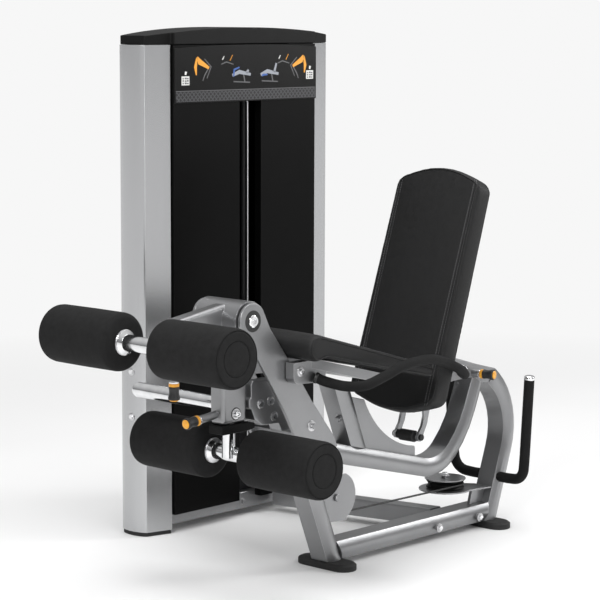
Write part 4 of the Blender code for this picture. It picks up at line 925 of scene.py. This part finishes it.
SIDE_HANDLE = ((-0.188, 0.1265, 0.556), (-0.172, 0.155, 0.545), (-0.146, 0.195, 0.536),
               (-0.105, 0.226, 0.537), (-0.041, 0.234, 0.553), (0.045, 0.233, 0.573),
               (0.170, 0.212, 0.572), (0.260, 0.190, 0.552), (0.340, 0.179, 0.522),
               (0.402, 0.148, 0.496), (0.455, 0.092, 0.491), (0.500, 0.061, 0.4865))
SIDE_HANDLE_ROOT = (0.548, 0.030, 0.480)
SIDE_GRIP_RADIUS = 0.0135
REAR_GRIP_RADIUS = 0.0150
REAR_HANDLE = ((0.715, 0.0, 0.142), (0.715, 0.036, 0.142), (0.715, 0.072, 0.142), (0.712, 0.104, 0.147),
               (0.708, 0.124, 0.167), (0.705, 0.131, 0.204), (0.702, 0.139, 0.310), (0.700, 0.148, 0.450))


def dress_all():
    for node, target in NODES.items():
        kind = target.data.materials[0].name.split(".")[0]
        dress(node, OWN_LOOK.get(node) or LOOKS[kind], SOFT_EDGE.get(node, USUAL_EDGE))


def handles():
    """Foam sleeves along the handles' centre lines, with their ferrules, flanges and end caps."""
    sleeve = [(0, 0.0115), (0, 0.0140), (0.0030, 0.0146), (0.0060, 0.0140), (0.0060, 0.0129),
              (0.0500, 0.0129), (0.0500, 0.0100)]
    flange = [(0, 0.0110), (0, 0.0152), (0.0070, 0.0152), (0.0085, 0.0136), (0.0085, 0.0110)]
    for side, label in ((-1, "near"), (1, "far")):
        line = spline([(x, y * side, z) for x, y, z in SIDE_HANDLE], 8)
        node = "side_handle_" + label
        made = tube(node + "_foam", line, SIDE_GRIP_RADIUS, GRIP_FOAM, BODY_OF[node], 32)
        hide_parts(node)
        rear = (Vector((SIDE_HANDLE_ROOT[0], SIDE_HANDLE_ROOT[1] * side, SIDE_HANDLE_ROOT[2])) - line[-1])
        rear.normalize()
        lathe(node + "_ferrule", line[-1] - rear * 0.001, rear, round_profile(sleeve, 0.0012), CHROME,
              BODY_OF[node], 40)
        lead = (line[0] - line[1]).normalized()
        lathe(node + "_flange", line[0] + lead * 0.001, -lead, round_profile(flange, 0.0012), KNOB,
              BODY_OF[node], 40)
    right = spline(REAR_HANDLE, 8)
    line = [Vector((p.x, -p.y, p.z)) for p in right[:0:-1]] + right
    made = tube("rear_handle_foam", line, REAR_GRIP_RADIUS, GRIP_FOAM, BODY_OF["rear_handle"], 32)
    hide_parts("rear_handle")
    cap = [(0, 0.0120), (0, 0.0158), (0.0060, 0.0160), (0.0095, 0.0150), (0.0120, 0.0115),
           (0.0130, 0.0060), (0.0132, 0.0010)]
    for label, first, last in (("near", line[1], line[0]), ("far", line[-2], line[-1])):
        out = (last - first).normalized()
        lathe("rear_handle_cap_" + label, last - out * 0.005, out, round_profile(cap, 0.0010), CHROME,
              BODY_OF["rear_handle"], 40)


PALE = (0.93, 0.93, 0.93, 1)


def floor_plane():
    """Pale floor that catches shadows near the machine and fades into the backdrop further out."""
    bpy.ops.mesh.primitive_plane_add(size=400, location=(0, 0, 0))
    floor = bpy.context.object
    floor.name = "floor"
    paint = Shader("floor_paint")
    tone = paint.noise(1.5, 2)
    paint.set("Base Color", paint.ramp(tone, 0.3, 0.7, (0.86, 0.86, 0.86), (0.88, 0.88, 0.88)))
    paint.set("Roughness", 0.55)
    reach = paint.add("ShaderNodeVectorMath", operation="LENGTH")
    paint.link(paint.position, reach.inputs[0])
    fade = paint.ramp(reach.outputs["Value"], 1.2, 4.5, 0.0, 1.0)
    glow = paint.add("ShaderNodeEmission")
    glow.inputs["Color"].default_value = PALE
    blend = paint.add("ShaderNodeMixShader")
    paint.link(fade, blend.inputs["Fac"])
    paint.link(paint.surface.outputs["BSDF"], blend.inputs[1])
    paint.link(glow.outputs["Emission"], blend.inputs[2])
    paint.link(blend.outputs["Shader"], paint.tree.nodes["Material Output"].inputs["Surface"])
    floor.data.materials.append(paint.material)


def studio_world():
    """Soft light from above, with an even pale backdrop for the camera."""
    world = bpy.data.worlds.new("studio")
    bpy.context.scene.world = world
    world.use_nodes = True
    nodes, links = world.node_tree.nodes, world.node_tree.links
    studio, backdrop = nodes["Background"], nodes.new("ShaderNodeBackground")
    backdrop.inputs["Color"].default_value = PALE
    coordinate = nodes.new("ShaderNodeTexCoord")
    split = nodes.new("ShaderNodeSeparateXYZ")
    links.new(coordinate.outputs["Generated"], split.inputs["Vector"])
    ramp = nodes.new("ShaderNodeValToRGB")
    ends = ramp.color_ramp.elements
    ends[0].position, ends[0].color = 0.02, (0.22, 0.22, 0.225, 1)
    ends[1].position, ends[1].color = 0.85, (1.0, 1.0, 1.0, 1)
    links.new(split.outputs["Z"], ramp.inputs["Fac"])
    links.new(ramp.outputs["Color"], studio.inputs["Color"])
    studio.inputs["Strength"].default_value = 0.75
    seen = nodes.new("ShaderNodeLightPath")
    blend = nodes.new("ShaderNodeMixShader")
    links.new(seen.outputs["Is Camera Ray"], blend.inputs["Fac"])
    links.new(studio.outputs["Background"], blend.inputs[1])
    links.new(backdrop.outputs["Background"], blend.inputs[2])
    links.new(blend.outputs["Shader"], nodes["World Output"].inputs["Surface"])
    bpy.context.scene.view_settings.view_transform = "Standard"


def area_light(name, place, target, size, tall, power):
    light = bpy.data.lights.new(name, "AREA")
    light.shape = "RECTANGLE"
    light.size = size
    light.size_y = tall
    light.energy = power
    made = bpy.data.objects.new(name, light)
    bpy.context.scene.collection.objects.link(made)
    made.location = place
    made.rotation_mode = "QUATERNION"
    made.rotation_quaternion = (Vector(target) - Vector(place)).to_track_quat("-Z", "Y")


CAMERA_PLACE = (-4.3312, -3.9193, 1.4956)
CAMERA_YAW, CAMERA_PITCH, CAMERA_ROLL = 42.889, 7.482, -0.188   # degrees


def camera():
    """Long-lens view from the front left, a little above."""
    yaw, pitch, roll = radians(CAMERA_YAW), radians(CAMERA_PITCH), radians(CAMERA_ROLL)
    forward = Vector((cos(yaw) * cos(pitch), sin(yaw) * cos(pitch), -sin(pitch)))
    right = Vector((sin(yaw), -cos(yaw), 0))
    down = forward.cross(right)
    right, down = right * cos(roll) + down * sin(roll), down * cos(roll) - right * sin(roll)
    lens = bpy.data.cameras.new("camera")
    lens.lens = 132.1
    lens.sensor_width = 36
    made = bpy.data.objects.new("camera", lens)
    bpy.context.scene.collection.objects.link(made)
    made.matrix_world = Matrix((
        (right.x, -down.x, -forward.x, CAMERA_PLACE[0]),
        (right.y, -down.y, -forward.y, CAMERA_PLACE[1]),
        (right.z, -down.z, -forward.z, CAMERA_PLACE[2]),
        (0, 0, 0, 1)))
    bpy.context.scene.camera = made


def hex_head(name, place, out, radius, body):
    """Hexagon bolt head with a chamfered crown on a round washer."""
    axis, side, up = ring_frame(out)
    washer = [(0, radius * 0.5), (0, radius * 1.55), (0.0018, radius * 1.55), (0.0024, radius * 1.1)]
    lathe(name + "_washer", Vector(place) - axis * 0.0004, out, round_profile(washer, 0.0006), STEEL,
          body, 32)
    bm = bmesh.new()
    loops = []
    levels = ((0.0014, 1.0), (radius * 0.72, 1.0), (radius * 0.88, 0.86), (radius * 0.92, 0.5))
    for along, scale in levels:
        centre = Vector(place) + axis * along
        loops.append([bm.verts.new(centre + (side * cos(pi / 3 * k) + up * sin(pi / 3 * k)) * radius * scale)
                      for k in range(6)])
    for first, second in zip(loops, loops[1:]):
        for k in range(6):
            bm.faces.new((first[k], first[(k + 1) % 6], second[(k + 1) % 6], second[k]))
    bm.faces.new(loops[0])
    bm.faces.new(loops[-1])
    from_bmesh(name, bm, CHROME, body, 25)


# bolt places as (x, z), and the faces that the heads sit on
PAN_BOLT = (-0.236, 0.576)
PAN_SIDE = 0.1181
STRUT_BOLT = (-0.160, 0.420)
STRUT_PIVOT = (-0.380, 0.718)
STRUT_SIDE = 0.0875
STOP_BOLTS = ((-0.284, 0.486), (-0.247, 0.489), (-0.234, 0.447))
STOP_FACE = -0.0222
COLUMN_BOLT_HEIGHTS = (0.476, 0.346)
COLUMN_BOLT_Y = 0.640
BASE_BOLTS_X = (0.425, 0.610)
ARM_BOLT = (-0.379, 0.473)
LEVER_SIDE = -0.0255


def bolts():
    """Bright bolts over the frame's fixings."""
    nearward = (0, -1, 0)
    # painted shade: a thin dark ring on each strut plate stands in for the shadowed gap round the arm's hub at the
    # pivot
    pivot_gap_shade_ring = round_profile([(0, 0.0255), (0, 0.0278), (0.0007, 0.0278), (0.0007, 0.0255)], 0.0003)
    arm_ring = round_profile([(0, 0.010), (0, 0.0165), (0.0016, 0.0165), (0.0016, 0.014)], 0.0005)
    for side, label in ((-1, "near"), (1, "far")):
        out = (0, side, 0)
        hex_head("pan_bolt_" + label, (PAN_BOLT[0], side * PAN_SIDE, PAN_BOLT[1]), out, 0.0085, "frame")
        place = (STRUT_BOLT[0], side * STRUT_SIDE, STRUT_BOLT[1])
        hex_head("strut_bolt_" + label, place, out, 0.0095, "frame")
        pivot = Vector((STRUT_PIVOT[0], side * STRUT_SIDE, STRUT_PIVOT[1]))
        # dark ring of painted shade for the pivot gap, not a separate part
        lathe("strut_pivot_ring_" + label, pivot, out, pivot_gap_shade_ring, KNOB, "frame", 56)
        bolt_head("strut_pivot_bolt_" + label, pivot, out, 0.0075, "frame", STEEL)
    for i, (x, z) in enumerate(STOP_BOLTS):
        hex_head("stop_bolt_%d" % i, (x, STOP_FACE, z), nearward, 0.0082, "frame")
    low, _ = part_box("column_front")
    for i, z in enumerate(COLUMN_BOLT_HEIGHTS):
        hex_head("column_bolt_%d" % i, (low.x + 0.0006, COLUMN_BOLT_Y, z), (-1, 0, 0), 0.0070, "frame")
    low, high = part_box("base_tube")
    for i, x in enumerate(BASE_BOLTS_X):
        place = (x, low.y - 0.0002, (low.z + high.z) / 2 - 0.006)
        hex_head("base_bolt_%d" % i, place, nearward, 0.0082, "frame")
    bolt_head("arm_bolt", (ARM_BOLT[0], LEVER_SIDE, ARM_BOLT[1]), nearward, 0.0095, "lever", CHROME)
    lathe("arm_bolt_ring", (ARM_BOLT[0], LEVER_SIDE + 0.0006, ARM_BOLT[1]), nearward, arm_ring, KNOB,
          "lever", 40)
    wheel = Vector(JOINTS["rear_pulley_spin"]["pos_m"])
    _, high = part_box("rear_pulley_cap")
    hex_head("rear_pulley_bolt", (wheel.x, wheel.y, high.z - 0.0004), (0, 0, 1), 0.0095, "frame")


dress_all()
back_rest()
seat()
for label in ("upper_roller_near", "upper_roller_far", "lower_roller_near", "lower_roller_far"):
    roller(label)
    roller_hub(label)
knob("upper_pin", "upper_pin_pull")
knob("lower_pin", "lower_pin_pull")
knob("back_pin", "back_pin_pull")
handles()
bolts()
tower_cable()
placard_art()
floor_plane()
studio_world()
area_light("key", (-3.6, -1.2, 3.4), (0.1, 0.1, 0.6), 1.6, 1.6, 130)
area_light("front", (-1.2, -4.4, 1.6), (0.1, 0.2, 0.6), 1.4, 2.6, 42)
area_light("rim", (3.4, -2.0, 2.4), (0.2, 0.1, 0.6), 1.2, 2.2, 70)
area_light("top", (0.4, 0.2, 4.2), (0.2, 0.2, 0.4), 2.6, 2.6, 75)
camera()
